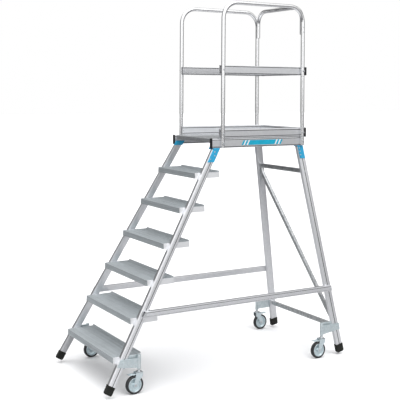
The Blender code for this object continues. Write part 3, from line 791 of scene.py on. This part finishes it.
def bent_tube(corners, radius, bend, material, sides=32):
    """bmesh of a closed round tube through the corners."""
    line = bpy.data.meshes.new("line")
    edges = [(i, i + 1) for i in range(len(corners) - 1)]
    line.from_pydata([tuple(corner) for corner in corners], edges, [])
    values = {"Radius": radius, "Bend": bend, "Sides": sides, "Material": material}
    bm = bmesh.new()
    bm.from_mesh(bake_tree(TUBE_TREE, line, values))
    return bm


def cut_away(bm, cutters):
    """The solid in bm with each cutter's solid taken out of it."""
    holders = []
    for part in [bm] + cutters:
        bmesh.ops.remove_doubles(part, verts=part.verts, dist=1e-6)
        bmesh.ops.recalc_face_normals(part, faces=part.faces)
        holders.append(add_object("cut", take_mesh("cut", part)))
    for cutter in holders[1:]:
        boolean = holders[0].modifiers.new("cut", "BOOLEAN")
        boolean.operation = "DIFFERENCE"
        boolean.object = cutter
        boolean.solver = "EXACT"
    graph = bpy.context.evaluated_depsgraph_get()
    made = bpy.data.meshes.new_from_object(holders[0].evaluated_get(graph))
    for holder in holders:
        bpy.data.objects.remove(holder)
    left = bmesh.new()
    left.from_mesh(made)
    return left


cutters = []
for word, side in SIDES.items():
    node = f"guard_frame_{word}"
    low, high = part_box(node)
    radius = (high.y - low.y) / 2
    post_y = (low.y + high.y) / 2
    x_low, x_high, rail_z = low.x + radius, high.x - radius, high.z - radius
    corners = [(x_low, post_y, low.z), (x_low, post_y, rail_z)]
    corners += [(x_high, post_y, rail_z), (x_high, post_y, low.z)]
    shape = bent_tube(corners, radius, FRAME_BEND, TUBE_METAL)
    add_piece(node + "_tube", shape, TUBE_METAL, "frame", [node], sharp=50.0)
    cutters.append(bent_tube(corners, radius + GAP, FRAME_BEND, TUBE_METAL))

low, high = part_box("top_rail_rear")
x, rail_z, y = x_high, high.z - radius, abs(post_y) - REAR_INSET
corners = [(x, -y, low.z), (x, -y, rail_z), (x, y, rail_z), (x, y, low.z)]
shape = cut_away(bent_tube(corners, radius, REAR_BEND, TUBE_METAL), cutters)
add_piece("top_rail_rear_tube", shape, TUBE_METAL, "frame", ["top_rail_rear"], sharp=50.0)

# ----------------------------------------------------------------------
# Mid rails and toe boards: flat hollow extrusions bolted inside the posts on three sides. The
# toe boards stand on the beams. Black caps plug the ends that pass the rear posts.

BOARD_METAL = make_metal("satin_board", ALUMINIUM, 0.36, ALONG_X)
CROSS_BOARD_METAL = make_metal("satin_cross_board", ALUMINIUM, 0.36, ALONG_Y)
# The grooves of these boards, edge ones included, carry the painted groove shade as dark lines.
MID_GROOVES = [(0.0025, 0.0070, BEAD), (0.0520, 0.0570, BEAD)]
TOE_GROOVES = [(0.0016, 0.0046, BEAD), (0.0130, 0.0180, BEAD), (0.0560, 0.0610, BEAD)]
BOARD_CAP = 0.017
CAP_PROUD = 0.0006
PLATE_INSET = 0.0015
SIDE_BOARDS = [f"{kind}_{word}" for kind in ("mid_rail", "toe_board") for word in SIDES]

for word in SIDES:
    add_board(f"mid_rail_{word}", BOARD_METAL, MID_GROOVES)
    add_board(f"toe_board_{word}", BOARD_METAL, TOE_GROOVES)
for node, grooves in (("mid_rail_rear", MID_GROOVES), ("toe_board_rear", TOE_GROOVES)):
    low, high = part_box(node)
    corners = ((low.x, low.z), (high.x, high.z))
    add_grooved(node, corners, [along_y(low.y), along_y(high.y)], CROSS_BOARD_METAL, grooves)

caps, plates = bmesh.new(), bmesh.new()
for node in SIDE_BOARDS:
    low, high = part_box(node)
    front = (high.x - BOARD_CAP, low.y - CAP_PROUD, low.z - CAP_PROUD)
    back = (high.x + 0.003, high.y + CAP_PROUD, high.z + CAP_PROUD)
    add_box(caps, front, back, 0.002)
    front = (low.x + 0.0006, low.y + PLATE_INSET, low.z + PLATE_INSET)
    back = (low.x + 0.0030, high.y - PLATE_INSET, high.z - PLATE_INSET)
    add_box(plates, front, back)
soften(add_piece("board_end_caps", caps, BLACK_PLASTIC, "frame"), 0.0008)
add_piece("board_front_plates", plates, BOARD_METAL, "frame")

# ----------------------------------------------------------------------
# Braces: a level tube outside the legs on each side, and three tubes between the rear legs, of
# which one runs corner to corner. All are hollow extrusion, bolted or riveted at their ends.

SIDE_BRACE_METAL = make_metal("satin_side_brace", ALUMINIUM, 0.36, ALONG_X)
CROSS_BRACE_METAL = make_metal("satin_cross_brace", (0.42, 0.44, 0.45), 0.42, ALONG_Y)
DIAGONAL_METAL = make_metal("satin_diagonal", (0.34, 0.355, 0.365), 0.40, ALONG_Z, (30.0, 0.0, 0.0))
BRACE_INSET = 0.012
BRACE_GROOVES = [(0.0070, 0.0085, BEAD / 2), (0.0310, 0.0338, BEAD)]
DIAGONAL_WIDTH = 0.030


def rectangle(low, high, radius):
    corners = [(low[0], low[1]), (high[0], low[1]), (high[0], high[1]), (low[0], high[1])]
    return rounded(corners, [radius] * 4)


for word in SIDES:
    node = f"side_brace_{word}"
    corners, side = section_of(node)

    def cut_end(line, offset, side=side):
        return lambda u, v: Vector((line(offset, 0.0, v).x, side * u, v))

    front, rear = LINES[f"stile_{word}"], LINES[f"rear_leg_{word}"]
    ends = [cut_end(front, -BRACE_INSET), cut_end(rear, BRACE_INSET)]
    add_grooved(node, corners, ends, SIDE_BRACE_METAL, BRACE_GROOVES, inner=False)

REAR_LINE = LINES["rear_leg_left"]


def between_rear_legs(z):
    return REAR_LINE(0.0, LEG_THICKNESS + GAP, z).y


for word in ("upper", "lower"):
    node = f"rear_brace_{word}"
    low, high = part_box(node)
    shape = bmesh.new()
    outline = rectangle((low.x, low.z), (high.x, high.z), 0.0022)
    ends = [lambda u, v, s=s: Vector((u, s * between_rear_legs(v), v)) for s in (-1, 1)]
    extrude(shape, outline, ends, LEG_WALL)
    add_piece(node + "_extrusion", shape, CROSS_BRACE_METAL, "frame", [node])

upper_low, upper_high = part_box("rear_brace_upper")
half_depth = (upper_high - upper_low).x / 2
low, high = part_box("rear_brace_diagonal")
run = between_rear_legs(low.z) + between_rear_legs(high.z)
cut = DIAGONAL_WIDTH * math.hypot(run, high.z - low.z) / run


def diagonal_end(side, bottom):
    def place(u, v):
        z = bottom + v
        return Vector((REAR_LINE(u, 0.0, z).x, side * between_rear_legs(z), z))

    return place


shape = bmesh.new()
outline = rectangle((-half_depth, 0.0), (half_depth, cut), 0.0025)
extrude(shape, outline, [diagonal_end(-1, low.z), diagonal_end(1, high.z - cut)], LEG_WALL)
node = "rear_brace_diagonal"
add_piece(node + "_extrusion", shape, DIAGONAL_METAL, "frame", [node])

# ----------------------------------------------------------------------
# Fasteners on the frame: zinc-plated hex bolts through the posts and side braces, dome rivets at
# the rear braces and rail ends, and recessed pan screws in the blue brackets and inside the boards at the
# posts.

FASTENER_STEEL = make_metal("fastener_steel", (0.56, 0.58, 0.60), 0.34, (160.0,) * 3, contrast=0.2)
RIVET_PROFILE = [(0.0, -0.001), (0.0055, -0.001), (0.0055, 0.0004), (0.0048, 0.0014)]
RIVET_PROFILE += [(0.0028, 0.0022), (0.0, 0.0025)]
WASHER_PROFILE = [(0.0, -0.001), (0.0085, -0.001), (0.0085, 0.0014), (0.0078, 0.0018), (0.0, 0.0018)]
SCREW_PROFILE = [(0.0, -0.001), (0.0052, -0.001), (0.0052, 0.0006), (0.0040, 0.0022)]
SCREW_PROFILE += [(0.0020, 0.0024), (0.0014, 0.0010), (0.0, 0.0010)]
RAIL_RIVETS = (0.018, 0.055)
BRACKET_SCREWS = {
    "stile": ((-0.004, 1.603), (0.012, 1.575), (-0.014, 1.552)),
    "rear_leg": ((-0.015, 1.611), (-0.015, 1.585), (-0.015, 1.558)),
}


def make_fastener_tree():
    """Copies of one head on every point, each turned to face along the point's own direction."""
    inputs = [("Head", "Object", None), ("Size", "Float", 1.0)]
    tree, given, result = new_geometry_tree("fasteners", inputs)
    head = add_node(tree, "GeometryNodeObjectInfo", {"Object": given["Head"]})
    kind = "GeometryNodeInputNamedAttribute"
    facing = add_node(tree, kind, {"Name": "facing"}, data_type="FLOAT_VECTOR").outputs["Attribute"]
    turned_way = add_node(tree, "FunctionNodeAlignRotationToVector", {"Vector": facing}, axis="Z")
    sockets = {"Points": given["Geometry"], "Instance": head.outputs["Geometry"]}
    sockets.update({"Rotation": turned_way.outputs[0], "Scale": given["Size"]})
    return end_tree(tree, given, result, add_node(tree, "GeometryNodeInstanceOnPoints", sockets))


FASTENER_TREE = make_fastener_tree()


def turned(bm, profile, segments, axis="Z", centre=(0.0, 0.0, 0.0)):
    """Solid turned from (radius, height) points. One that starts off the axis closes on itself."""
    rings = []
    for radius, height in profile:
        steps = segments if radius > 1e-6 else 1
        angles = [2 * math.pi * i / segments for i in range(steps)]
        points = [(radius * math.cos(angle), radius * math.sin(angle), height) for angle in angles]
        rings.append([bm.verts.new(point) for point in points])
    pairs = list(zip(rings, rings[1:]))
    if profile[0][0] > 1e-6:
        pairs.append((rings[-1], rings[0]))
    for first, second in pairs:
        for i in range(segments):
            j = (i + 1) % segments
            if len(first) == 1:
                bm.faces.new((first[0], second[i], second[j]))
            elif len(second) == 1:
                bm.faces.new((first[i], first[j], second[0]))
            else:
                bm.faces.new((first[i], first[j], second[j], second[i]))
    made = [v for ring in rings for v in ring]
    if axis == "Y":
        bmesh.ops.rotate(bm, verts=made, matrix=Matrix.Rotation(math.radians(90), 3, "X"))
    bmesh.ops.translate(bm, verts=made, vec=centre)


def hex_prism(bm, across_flats, low, high):
    radius = across_flats / math.sqrt(3)
    angles = [math.pi * i / 3 for i in range(6)]
    corners = [(radius * math.cos(angle), radius * math.sin(angle)) for angle in angles]
    extrude(bm, corners, [lambda u, v: Vector((u, v, low)), lambda u, v: Vector((u, v, high))])


def make_head(name, profile, segments, across_flats=0.0):
    """Turned head, with a hexagon standing on it where one is asked for."""
    bm = bmesh.new()
    turned(bm, profile, segments)
    if across_flats:
        hex_prism(bm, across_flats, 0.0012, 0.0064)
    bmesh.ops.recalc_face_normals(bm, faces=bm.faces)
    return bpy.data.objects.new(name, take_mesh(name, bm))


RIVET = make_head("rivet_head", RIVET_PROFILE, 20)
BOLT = make_head("bolt_head", WASHER_PROFILE, 24, 0.0125)
SCREW = make_head("screw_head", SCREW_PROFILE, 16)


def add_fasteners(name, head, spots, material):
    """One piece with a head at each spot, a spot being a point and the way its head faces."""
    mesh = bpy.data.meshes.new(name + "_spots")
    mesh.from_pydata([tuple(point) for point, _ in spots], [], [])
    facing = mesh.attributes.new("facing", "FLOAT_VECTOR", "POINT")
    for item, (_, way) in zip(facing.data, spots):
        item.vector = way
    made = bake_tree(FASTENER_TREE, mesh, {"Head": head, "Size": 1.0, "Material": material})
    made.name = name
    add_mesh_piece(name, made, material, "frame")


rivets, bolts, screws = [], [], []
for word, side in SIDES.items():
    outward = Vector((0.0, side, 0.0))
    frame_low, frame_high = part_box(f"guard_frame_{word}")
    post_face = frame_high.y if side > 0 else frame_low.y
    radius = (frame_high.y - frame_low.y) / 2
    for x in (frame_low.x + radius, frame_high.x - radius):
        for kind in ("mid_rail", "toe_board", "platform_beam"):
            low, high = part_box(f"{kind}_{word}")
            middle = (low.z + high.z) / 2
            bolts.append((Vector((x, post_face, middle)), outward))
            screws.append((Vector((x, min(low.y, high.y, key=abs), middle)), -outward))
    low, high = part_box(f"side_brace_{word}")
    brace_face, middle = max(low.y, high.y, key=abs), (low.z + high.z) / 2
    for kind, places in BRACKET_SCREWS.items():
        line = LINES[f"{kind}_{word}"]
        bolts.append((Vector((line(0.0, 0.0, middle).x, brace_face, middle)), outward))
        screws += [(line(u, -CHEEK, z), outward) for u, z in places]
    for node in ("rear_brace_upper", "rear_brace_lower"):
        low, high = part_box(node)
        rivets.append((line(0.0, STEP_BACK, (low.z + high.z) / 2), outward))
    rail_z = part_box("top_rail_rear")[0].z
    for rise in RAIL_RIVETS:
        rivets.append((Vector((frame_high.x - radius, post_face, rail_z + rise)), outward))
add_fasteners("frame_rivets", RIVET, rivets, FASTENER_STEEL)
add_fasteners("frame_bolts", BOLT, bolts, FASTENER_STEEL)
add_fasteners("bracket_screws", SCREW, screws, FASTENER_STEEL)

# ----------------------------------------------------------------------
# Caster brackets: zinc-plated steel. A plate outside the leg and a deeper one inside it are
# joined by a web behind the leg and welded to the tube that houses the spring and the stem.

PLATE = 0.004
OUTER_SPAN = (0.194, 0.244)
WEB_SPAN = (0.180, 0.241)
INNER_PLATE_Z = 0.180
HOUSING_Z = 0.168
HOUSING_BORE = 0.011
HOUSING_DROP = 0.022
LEG_MEETING_Z = 0.176
BRACKET_BOLT_Z = 0.222
WELD_RADIUS = 0.0016
WELD_STEPS = 12
LEG_OF = {end: kind for kind, end in END_OF.items()}
CASTERS = [f"caster_{end}_{word}" for end in LEG_OF for word in SIDES]


def make_spangle():
    """Zinc plating: pale crystalline flakes, each a slightly different tone."""
    inputs = [("Vector", "Vector", None), ("Color", "Color", (0.5, 0.5, 0.5, 1.0))]
    inputs += [("Scale", "Float", 90.0)]
    tree, given, result = new_group("zinc_spangle", "ShaderNodeTree", inputs, [("Color", "Color")])
    sockets = {"Vector": given["Vector"], "Scale": given["Scale"]}
    flakes = add_node(tree, "ShaderNodeTexVoronoi", sockets).outputs["Color"]
    tone = add_node(tree, "ShaderNodeSeparateColor", {"Color": flakes}).outputs[0]
    shade = ramp(tree, tone, 0.0, 1.0, 0.94, 1.06)
    tree.links.new(tinted(tree, given["Color"], shade), result["Color"])
    return tree


SPANGLE = make_spangle()


def make_zinc(name, tint, roughness, scale):
    material = make_metal(name, tint, roughness, (60.0,) * 3, contrast=0.16, metallic=0.75)
    tree = material.node_tree
    base = tree.nodes["Principled BSDF"].inputs["Base Color"]
    place = add_node(tree, "ShaderNodeTexCoord").outputs["Object"]
    flakes = add_node(tree, "ShaderNodeGroup", node_tree=SPANGLE)
    set_sockets(tree, flakes, {"Vector": place, "Color": base.links[0].from_socket, "Scale": scale})
    tree.links.new(flakes.outputs["Color"], base)
    return material


ZINC = make_zinc("zinc_plate", (0.55, 0.63, 0.655), 0.38, 110.0)


def upright_plate(bm, y_low, y_high, outline):
    extrude(bm, outline, [along_y(y_low), along_y(y_high)])


def caster_parts(name):
    """Pivot on the floor, wheel centre, and the way the wheel trails: 1 when it trails to -X."""
    low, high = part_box(name + "_stem")
    pivot = Vector(((low.x + high.x) / 2, (low.y + high.y) / 2, 0.0))
    low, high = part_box(name + "_tyre")
    wheel = (low + high) / 2
    return pivot, wheel, 1 if wheel.x < pivot.x else -1


def add_weld(bm, x, y, z_low, z_high):
    """Upright bead of weld with a rippled edge."""
    points = [Vector((x, y, z_low + (z_high - z_low) * i / WELD_STEPS)) for i in range(WELD_STEPS + 1)]
    bead = bent_tube(points, WELD_RADIUS, 0.0, ZINC, 8)
    for vert in bead.verts:
        vert.co.x += 0.0004 * math.sin(vert.co.z * 1400)
    bm.from_mesh(take_mesh("bead", bead))


spots = []
for name in CASTERS:
    _, end, word = name.split("_")
    side, back = SIDES[word], LEANS[LEG_OF[end]]
    line = LINES[f"{LEG_OF[end]}_{word}"]
    pivot, wheel, trail = caster_parts(name)
    low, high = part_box(name + "_bracket")
    radius = max(abs(low.y), abs(high.y)) - abs(pivot.y)
    outer_y = abs(line(0.0, 0.0, LEG_MEETING_Z).y) + 2 * GAP
    inner_y = abs(pivot.y) - radius - 0.6 * PLATE
    half = LEG_WIDTH / 2

    def beside(z, offset, line=line, back=back):
        """Point at height z, this far behind the leg's centre line."""
        return (line(back * offset, 0.0, z).x, z)

    shape = bmesh.new()
    outline = [beside(OUTER_SPAN[0], -half), (pivot.x, HOUSING_Z + PLATE)]
    outline += [(pivot.x, high.z - HOUSING_DROP), beside(OUTER_SPAN[1], -half)]
    outline = rounded(outline, [0.006, 0.0, 0.0, 0.006])
    upright_plate(shape, side * outer_y, side * (outer_y + PLATE), outline)
    top = high.z - 2 * GAP
    outline = [beside(INNER_PLATE_Z, half + PLATE), (pivot.x, INNER_PLATE_Z)]
    outline += [(pivot.x, top), beside(top, half + PLATE)]
    upright_plate(shape, side * inner_y, side * (inner_y + PLATE), outline)
    outline = [beside(WEB_SPAN[0], half + GAP), beside(WEB_SPAN[0], half + 2 * PLATE)]
    outline += [beside(WEB_SPAN[1], half + 2 * PLATE), beside(WEB_SPAN[1], half + GAP)]
    upright_plate(shape, side * (inner_y + PLATE / 2), side * (outer_y + PLATE / 2), outline)
    soften(add_piece(name + "_plates", shape, ZINC, "frame", [name + "_bracket"]), 0.0009)

    shape = bmesh.new()
    profile = [(0.0, high.z - PLATE), (HOUSING_BORE, high.z - PLATE), (HOUSING_BORE, HOUSING_Z)]
    profile += [(radius - 0.001, HOUSING_Z), (radius, HOUSING_Z + 0.001), (radius, high.z - 0.002)]
    profile += [(radius - 0.002, high.z), (0.0, high.z)]
    turned(shape, profile, 36, centre=(pivot.x, pivot.y, 0.0))
    add_piece(name + "_housing", shape, ZINC, "frame")

    shape = bmesh.new()
    for z_low, z_high, y in (
        (HOUSING_Z + 0.006, high.z - HOUSING_DROP - 0.002, outer_y + PLATE),
        (INNER_PLATE_Z + 0.003, top - 0.003, inner_y),
    ):
        x = pivot.x - back * math.sqrt(max(radius**2 - (abs(pivot.y) - y) ** 2, 1e-6))
        add_weld(shape, x, side * y, z_low, z_high)
    add_piece(name + "_welds", shape, ZINC, "frame", sharp=60.0)
    place = Vector((line(0.0, 0.0, BRACKET_BOLT_Z).x, side * (outer_y + PLATE), BRACKET_BOLT_Z))
    spots.append((place, Vector((0.0, side, 0.0))))
add_fasteners("bracket_bolts", RIVET, spots, ZINC)

# ----------------------------------------------------------------------
# Sliding stems: a turned steel rod rides up and down in each housing against a spring. Its
# flange carries the fork, and the kingpin under it is riveted over.

ROD_RADIUS = 0.0102
KINGPIN_RADIUS = 0.005
STEM_STEEL = make_metal("turned_stem", (0.58, 0.61, 0.63), 0.28, (120.0, 120.0, 900.0), contrast=0.15)
for name in CASTERS:
    low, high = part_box(name + "_stem")
    pivot, wheel, trail = caster_parts(name)
    crown_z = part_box(name + "_fork")[1].z
    flange, rod, pin = (high.x - low.x) / 2, ROD_RADIUS, KINGPIN_RADIUS
    shape = bmesh.new()
    profile = [(0.0, low.z), (0.008, low.z), (0.009, low.z + 0.001), (0.009, low.z + 0.0038)]
    profile += [(pin, low.z + 0.0040), (pin, crown_z + 0.0009), (flange - 0.001, crown_z + 0.0009)]
    profile += [(flange, crown_z + 0.0019), (flange, crown_z + 0.0039)]
    profile += [(flange - 0.001, crown_z + 0.0049), (rod + 0.001, crown_z + 0.0049)]
    profile += [(rod, crown_z + 0.006), (rod, high.z - 0.001)]
    profile += [(rod - 0.001, high.z), (0.0, high.z)]
    turned(shape, profile, 32, centre=(pivot.x, pivot.y, 0.0))
    add_piece(name + "_guide_rod", shape, STEM_STEEL, name + "_stem", [name + "_stem"])

# ----------------------------------------------------------------------
# Forks: each is one pressing of zinc-plated steel, with a round swivel head, two tapering legs
# rounded off about the axle, and a bolt, washers and nut as the axle itself.

FORK_PLATE = 0.0025
FORK_GAP = 0.018
FORK_END_RADIUS = 0.014
CROWN_THICKNESS = 0.004
CROWN_BACK, CROWN_AHEAD = -0.031, 0.021
AXLE_RADIUS = 0.006
# Forks and pedals are tinted lighter than the bracket zinc: a painted highlight.
FORK_ZINC_HIGHLIGHTED = make_zinc("zinc_fork_highlighted", (0.63, 0.72, 0.755), 0.34, 130.0)


def fork_leg(pivot, wheel, trail, crown_z):
    """Side view of a leg: wide at the crown, drawn in to a round end about the axle."""
    reach = abs(pivot.x - wheel.x)
    points = [(CROWN_AHEAD, crown_z), (CROWN_BACK, crown_z)]
    points += [(CROWN_BACK, 0.132), (CROWN_BACK - 0.001, 0.126)]
    for i in range(13):
        angle = math.pi + i * math.pi / 12
        x, z = FORK_END_RADIUS * math.cos(angle), FORK_END_RADIUS * math.sin(angle)
        points.append((x - reach, wheel.z + z))
    points += [(-0.006, 0.088), (0.008, 0.106), (CROWN_AHEAD, 0.122)]
    return [(pivot.x + trail * x, z) for x, z in points]


for name in CASTERS:
    pivot, wheel, trail = caster_parts(name)
    body = name + "_fork"
    crown_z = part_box(body)[1].z
    outline = fork_leg(pivot, wheel, trail, crown_z)
    reach = FORK_GAP + FORK_PLATE
    shape = bmesh.new()
    for way in (-1, 1):
        upright_plate(shape, pivot.y + way * FORK_GAP, pivot.y + way * reach, outline)
    x_low, x_high = sorted(pivot.x + x * trail for x in (CROWN_BACK, CROWN_AHEAD))
    front = (x_low, pivot.y - reach, crown_z - CROWN_THICKNESS)
    add_box(shape, front, (x_high, pivot.y + reach, crown_z), 0.002, 2)
    # The fork pressing takes the fork zinc, with its painted highlight.
    soften(add_piece(name + "_fork_pressing", shape, FORK_ZINC_HIGHLIGHTED, body, [body]), 0.0008)

    shape = bmesh.new()
    head = [(0.0056, crown_z - 0.001), (0.0215, crown_z - 0.001), (0.0215, crown_z)]
    head += [(0.0200, crown_z + 0.0006), (0.0056, crown_z + 0.0006)]
    turned(shape, head, 32, centre=(pivot.x, pivot.y, 0.0))
    add_piece(name + "_race", shape, STEM_STEEL, body)

    shape = bmesh.new()
    bolt_half = reach + 0.001
    profile = [(0.0, -bolt_half), (AXLE_RADIUS, -bolt_half), (AXLE_RADIUS, bolt_half), (0.0, bolt_half)]
    turned(shape, profile, 20, "Y", wheel)
    for way in (-1, 1):
        base, washer_top = way * reach, way * (reach + 0.0014)
        washer = [(0.0, base), (0.0088, base), (0.0088, washer_top), (0.0, washer_top)]
        turned(shape, washer, 24, "Y", wheel)
        before = set(shape.verts)
        hex_prism(shape, 0.0130, base + way * 0.0012, base + way * 0.0052)
        fresh = [vert for vert in shape.verts if vert not in before]
        bmesh.ops.rotate(shape, verts=fresh, matrix=Matrix.Rotation(math.radians(90), 3, "X"))
        bmesh.ops.translate(shape, verts=fresh, vec=wheel)
    soften(add_piece(name + "_axle_bolt", shape, FASTENER_STEEL, body), 0.0004)

# ----------------------------------------------------------------------
# Wheels: a pressed and zinc-plated rim on a turned hub, and a solid rubber tyre bonded round it.
# The rim's dish, its two rolled beads and its ring of dimples come from the press.

RIM_ZINC = make_zinc("zinc_rim", (0.60, 0.70, 0.735), 0.34, 120.0)
TYRE_RUBBER = make_moulded("tyre_rubber", (0.020, 0.022, 0.025), 0.52, 500.0, 0.12)
DIMPLES = 8
DIMPLE_RADIUS = 0.0042
DIMPLE_CIRCLE = 0.0265


def mirrored(profile):
    """One flank of a wheel and its mirror image, as one closed profile."""
    return profile + [(radius, -height) for radius, height in reversed(profile)]


for name in CASTERS:
    pivot, wheel, trail = caster_parts(name)
    rim_low, rim_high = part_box(name + "_rim")
    tyre_low, tyre_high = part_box(name + "_tyre")
    _, hub, rim = (rim_high - rim_low) / 2
    _, half, outer = (tyre_high - tyre_low) / 2
    flank = [(0.0066, hub), (0.0120, hub), (0.0130, hub - 0.0010), (0.0140, 0.0080)]
    flank += [(0.0165, 0.0052), (0.0200, 0.0042), (0.0330, 0.0042), (0.0372, 0.0056)]
    flank += [(0.0398, 0.0090), (0.0412, 0.0122), (0.0430, 0.0136), (rim - 0.0015, 0.0136), (rim, 0.0124)]
    shape = bmesh.new()
    turned(shape, mirrored(flank), 56, "Y", wheel)
    for way in (-1, 1):
        for k in range(DIMPLES):
            angle = 2 * math.pi * (k + 0.5) / DIMPLES
            away = Vector((DIMPLE_CIRCLE * math.cos(angle), 0.0, DIMPLE_CIRCLE * math.sin(angle)))
            crown = [(0.0, 0.0036), (1.0, 0.0036), (0.85, 0.0050), (0.4, 0.0056), (0.0, 0.0057)]
            profile = [(share * DIMPLE_RADIUS, way * height) for share, height in crown]
            turned(shape, profile, 12, "Y", wheel + away)
    add_piece(name + "_rim_pressing", shape, RIM_ZINC, name + "_wheel", [name + "_rim"])
    flank = [(rim + GAP, half - 0.0015), (rim + 0.0020, half), (outer - 0.0060, half)]
    flank += [(outer - 0.0030, half - 0.0008), (outer - 0.0010, half - 0.0030)]
    flank += [(outer - 0.0002, half - 0.0060), (outer, half - 0.0095)]
    shape = bmesh.new()
    turned(shape, mirrored(flank), 64, "Y", wheel)
    tyre = [name + "_tyre"]
    add_piece(name + "_tyre_solid", shape, TYRE_RUBBER, name + "_wheel", tyre, sharp=50.0)

# ----------------------------------------------------------------------
# Brake pedals: a bent steel lever hinged across each fork above the wheel. Its tip curls up for
# the foot, two ribs stiffen its top, and a shoe under it bears on the tyre.

HINGE_X, HINGE_Z = -0.024, 0.1345
TIP_X = HINGE_X - 0.061
LEVER_OUTLINE = [(HINGE_X + 0.003, 0.003), (HINGE_X - 0.004, 0.004), (TIP_X + 0.018, 0.0015)]
LEVER_OUTLINE += [(TIP_X + 0.008, 0.0012), (TIP_X + 0.002, 0.0035), (TIP_X, 0.005)]
LEVER_OUTLINE += [(TIP_X - 0.001, 0.002), (TIP_X + 0.003, 0.0), (TIP_X + 0.008, -0.002)]
LEVER_OUTLINE += [(-0.052, -0.0015), (-0.050, -0.0045), (-0.042, -0.0045)]
LEVER_OUTLINE += [(-0.040, -0.0010), (HINGE_X + 0.003, -0.003)]
RIB_HALF = 0.0018

for name in CASTERS:
    pivot, wheel, trail = caster_parts(name)
    body = name + "_brake_pedal"
    low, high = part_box(body)
    half = (high.y - low.y) / 2
    outline = [(pivot.x + trail * x, HINGE_Z + z) for x, z in LEVER_OUTLINE]
    shape = bmesh.new()
    upright_plate(shape, pivot.y - half, pivot.y + half, outline)
    # The pedal takes the fork zinc, with its painted highlight.
    soften(add_piece(name + "_pedal_lever", shape, FORK_ZINC_HIGHLIGHTED, body, [body]), 0.0007)
    shape = bmesh.new()
    x_low, x_high = sorted(pivot.x + trail * x for x in (HINGE_X - 0.008, TIP_X + 0.012))
    for way in (-1, 1):
        y = pivot.y + way * half * 0.5
        front = (x_low, y - RIB_HALF, HINGE_Z + 0.0008)
        add_box(shape, front, (x_high, y + RIB_HALF, HINGE_Z + 0.0040), 0.001, 2)
    soften(add_piece(name + "_pedal_ribs", shape, FORK_ZINC_HIGHLIGHTED, body), 0.0006)

# ----------------------------------------------------------------------
# Studio: a plain pale floor, a white surround, and large soft lights above and to each side.

FLOOR_REACH = 60.0
FLOOR_CORNERS = [(-1, -1), (1, -1), (1, 1), (-1, 1)]
FLOOR_SEEN = (0.96, 0.96, 0.97, 1.0)
FLOOR_LIT, FLOOR_UNLIT = (0.50, 0.50, 0.51, 1.0), (0.10, 0.10, 0.105, 1.0)  # in reflections only
LIT_REACH = (1.2, 6.0)
floor_mesh = bpy.data.meshes.new("floor")
corners = [(x * FLOOR_REACH, y * FLOOR_REACH, 0.0) for x, y in FLOOR_CORNERS]
floor_mesh.from_pydata(corners, [], [(0, 1, 2, 3)])
floor = add_object("floor", floor_mesh)
floor_paint = bpy.data.materials.new("floor_paint")
floor_paint.use_nodes = True
tree = floor_paint.node_tree
floor_shader = tree.nodes["Principled BSDF"]
floor_shader.inputs["Roughness"].default_value = 0.7
floor_shader.inputs["Specular IOR Level"].default_value = 0.1
seen = add_node(tree, "ShaderNodeLightPath").outputs["Is Camera Ray"]
spot = add_node(tree, "ShaderNodeTexCoord").outputs["Object"]
away = add_node(tree, "ShaderNodeVectorMath", {0: spot}, operation="LENGTH").outputs["Value"]
mirrored = mix_colours(tree, ramp(tree, away, *LIT_REACH), FLOOR_LIT, FLOOR_UNLIT)
tree.links.new(mix_colours(tree, seen, mirrored, FLOOR_SEEN), floor_shader.inputs["Base Color"])
floor_mesh.materials.append(floor_paint)

SURROUND_LOW, SURROUND_SIDE, SURROUND_TOP = 0.08, 1.10, 0.70
BRIGHT_SIDE = (-0.45, -0.88, 0.10)
world = bpy.data.worlds.new("surround")
world.use_nodes = True
tree = world.node_tree
way = add_node(tree, "ShaderNodeTexCoord").outputs["Generated"]
facing_light = add_node(tree, "ShaderNodeVectorMath", operation="DOT_PRODUCT")
tree.links.new(way, facing_light.inputs[0])
facing_light.inputs[1].default_value = BRIGHT_SIDE
height = add_node(tree, "ShaderNodeSeparateXYZ", {"Vector": way}).outputs["Z"]
side_glow = ramp(tree, facing_light.outputs["Value"], -0.30, 0.70, 0.0, SURROUND_SIDE)
top_glow = ramp(tree, height, 0.35, 0.90, 0.0, SURROUND_TOP)
glow = plus(tree, plus(tree, side_glow, top_glow), SURROUND_LOW)
seen = add_node(tree, "ShaderNodeLightPath").outputs["Is Camera Ray"]
strength = math_node(tree, "MAXIMUM", seen, glow)
tree.nodes["Background"].inputs["Color"].default_value = (1.0, 1.0, 1.0, 1.0)
tree.links.new(strength, tree.nodes["Background"].inputs["Strength"])
bpy.context.scene.world = world


def add_light(name, place, strength, spread):
    light = bpy.data.lights.new(name, "SUN")
    light.energy = strength
    light.angle = math.radians(spread)
    lamp = add_object(name, light)
    lamp.location = place
    lamp.rotation_euler = (-Vector(place)).to_track_quat("-Z", "Y").to_euler()


add_light("key_light", (1.5, -4.5, 6.5), 0.75, 40.0)
add_light("top_light", (-1.0, 1.5, 8.0), 1.15, 60.0)

camera = add_object("camera", bpy.data.cameras.new("camera"))
camera.location = (-3.34661, -5.58141, 2.05151)
camera.rotation_euler = [math.radians(angle) for angle in (89.70791, -0.36238, -30.67512)]
camera.data.sensor_width = 36.0
camera.data.lens = 76.3308
camera.data.shift_y = -0.26240
camera.data.clip_end = 200.0
bpy.context.scene.camera = camera
bpy.context.scene.view_settings.view_transform = "Standard"
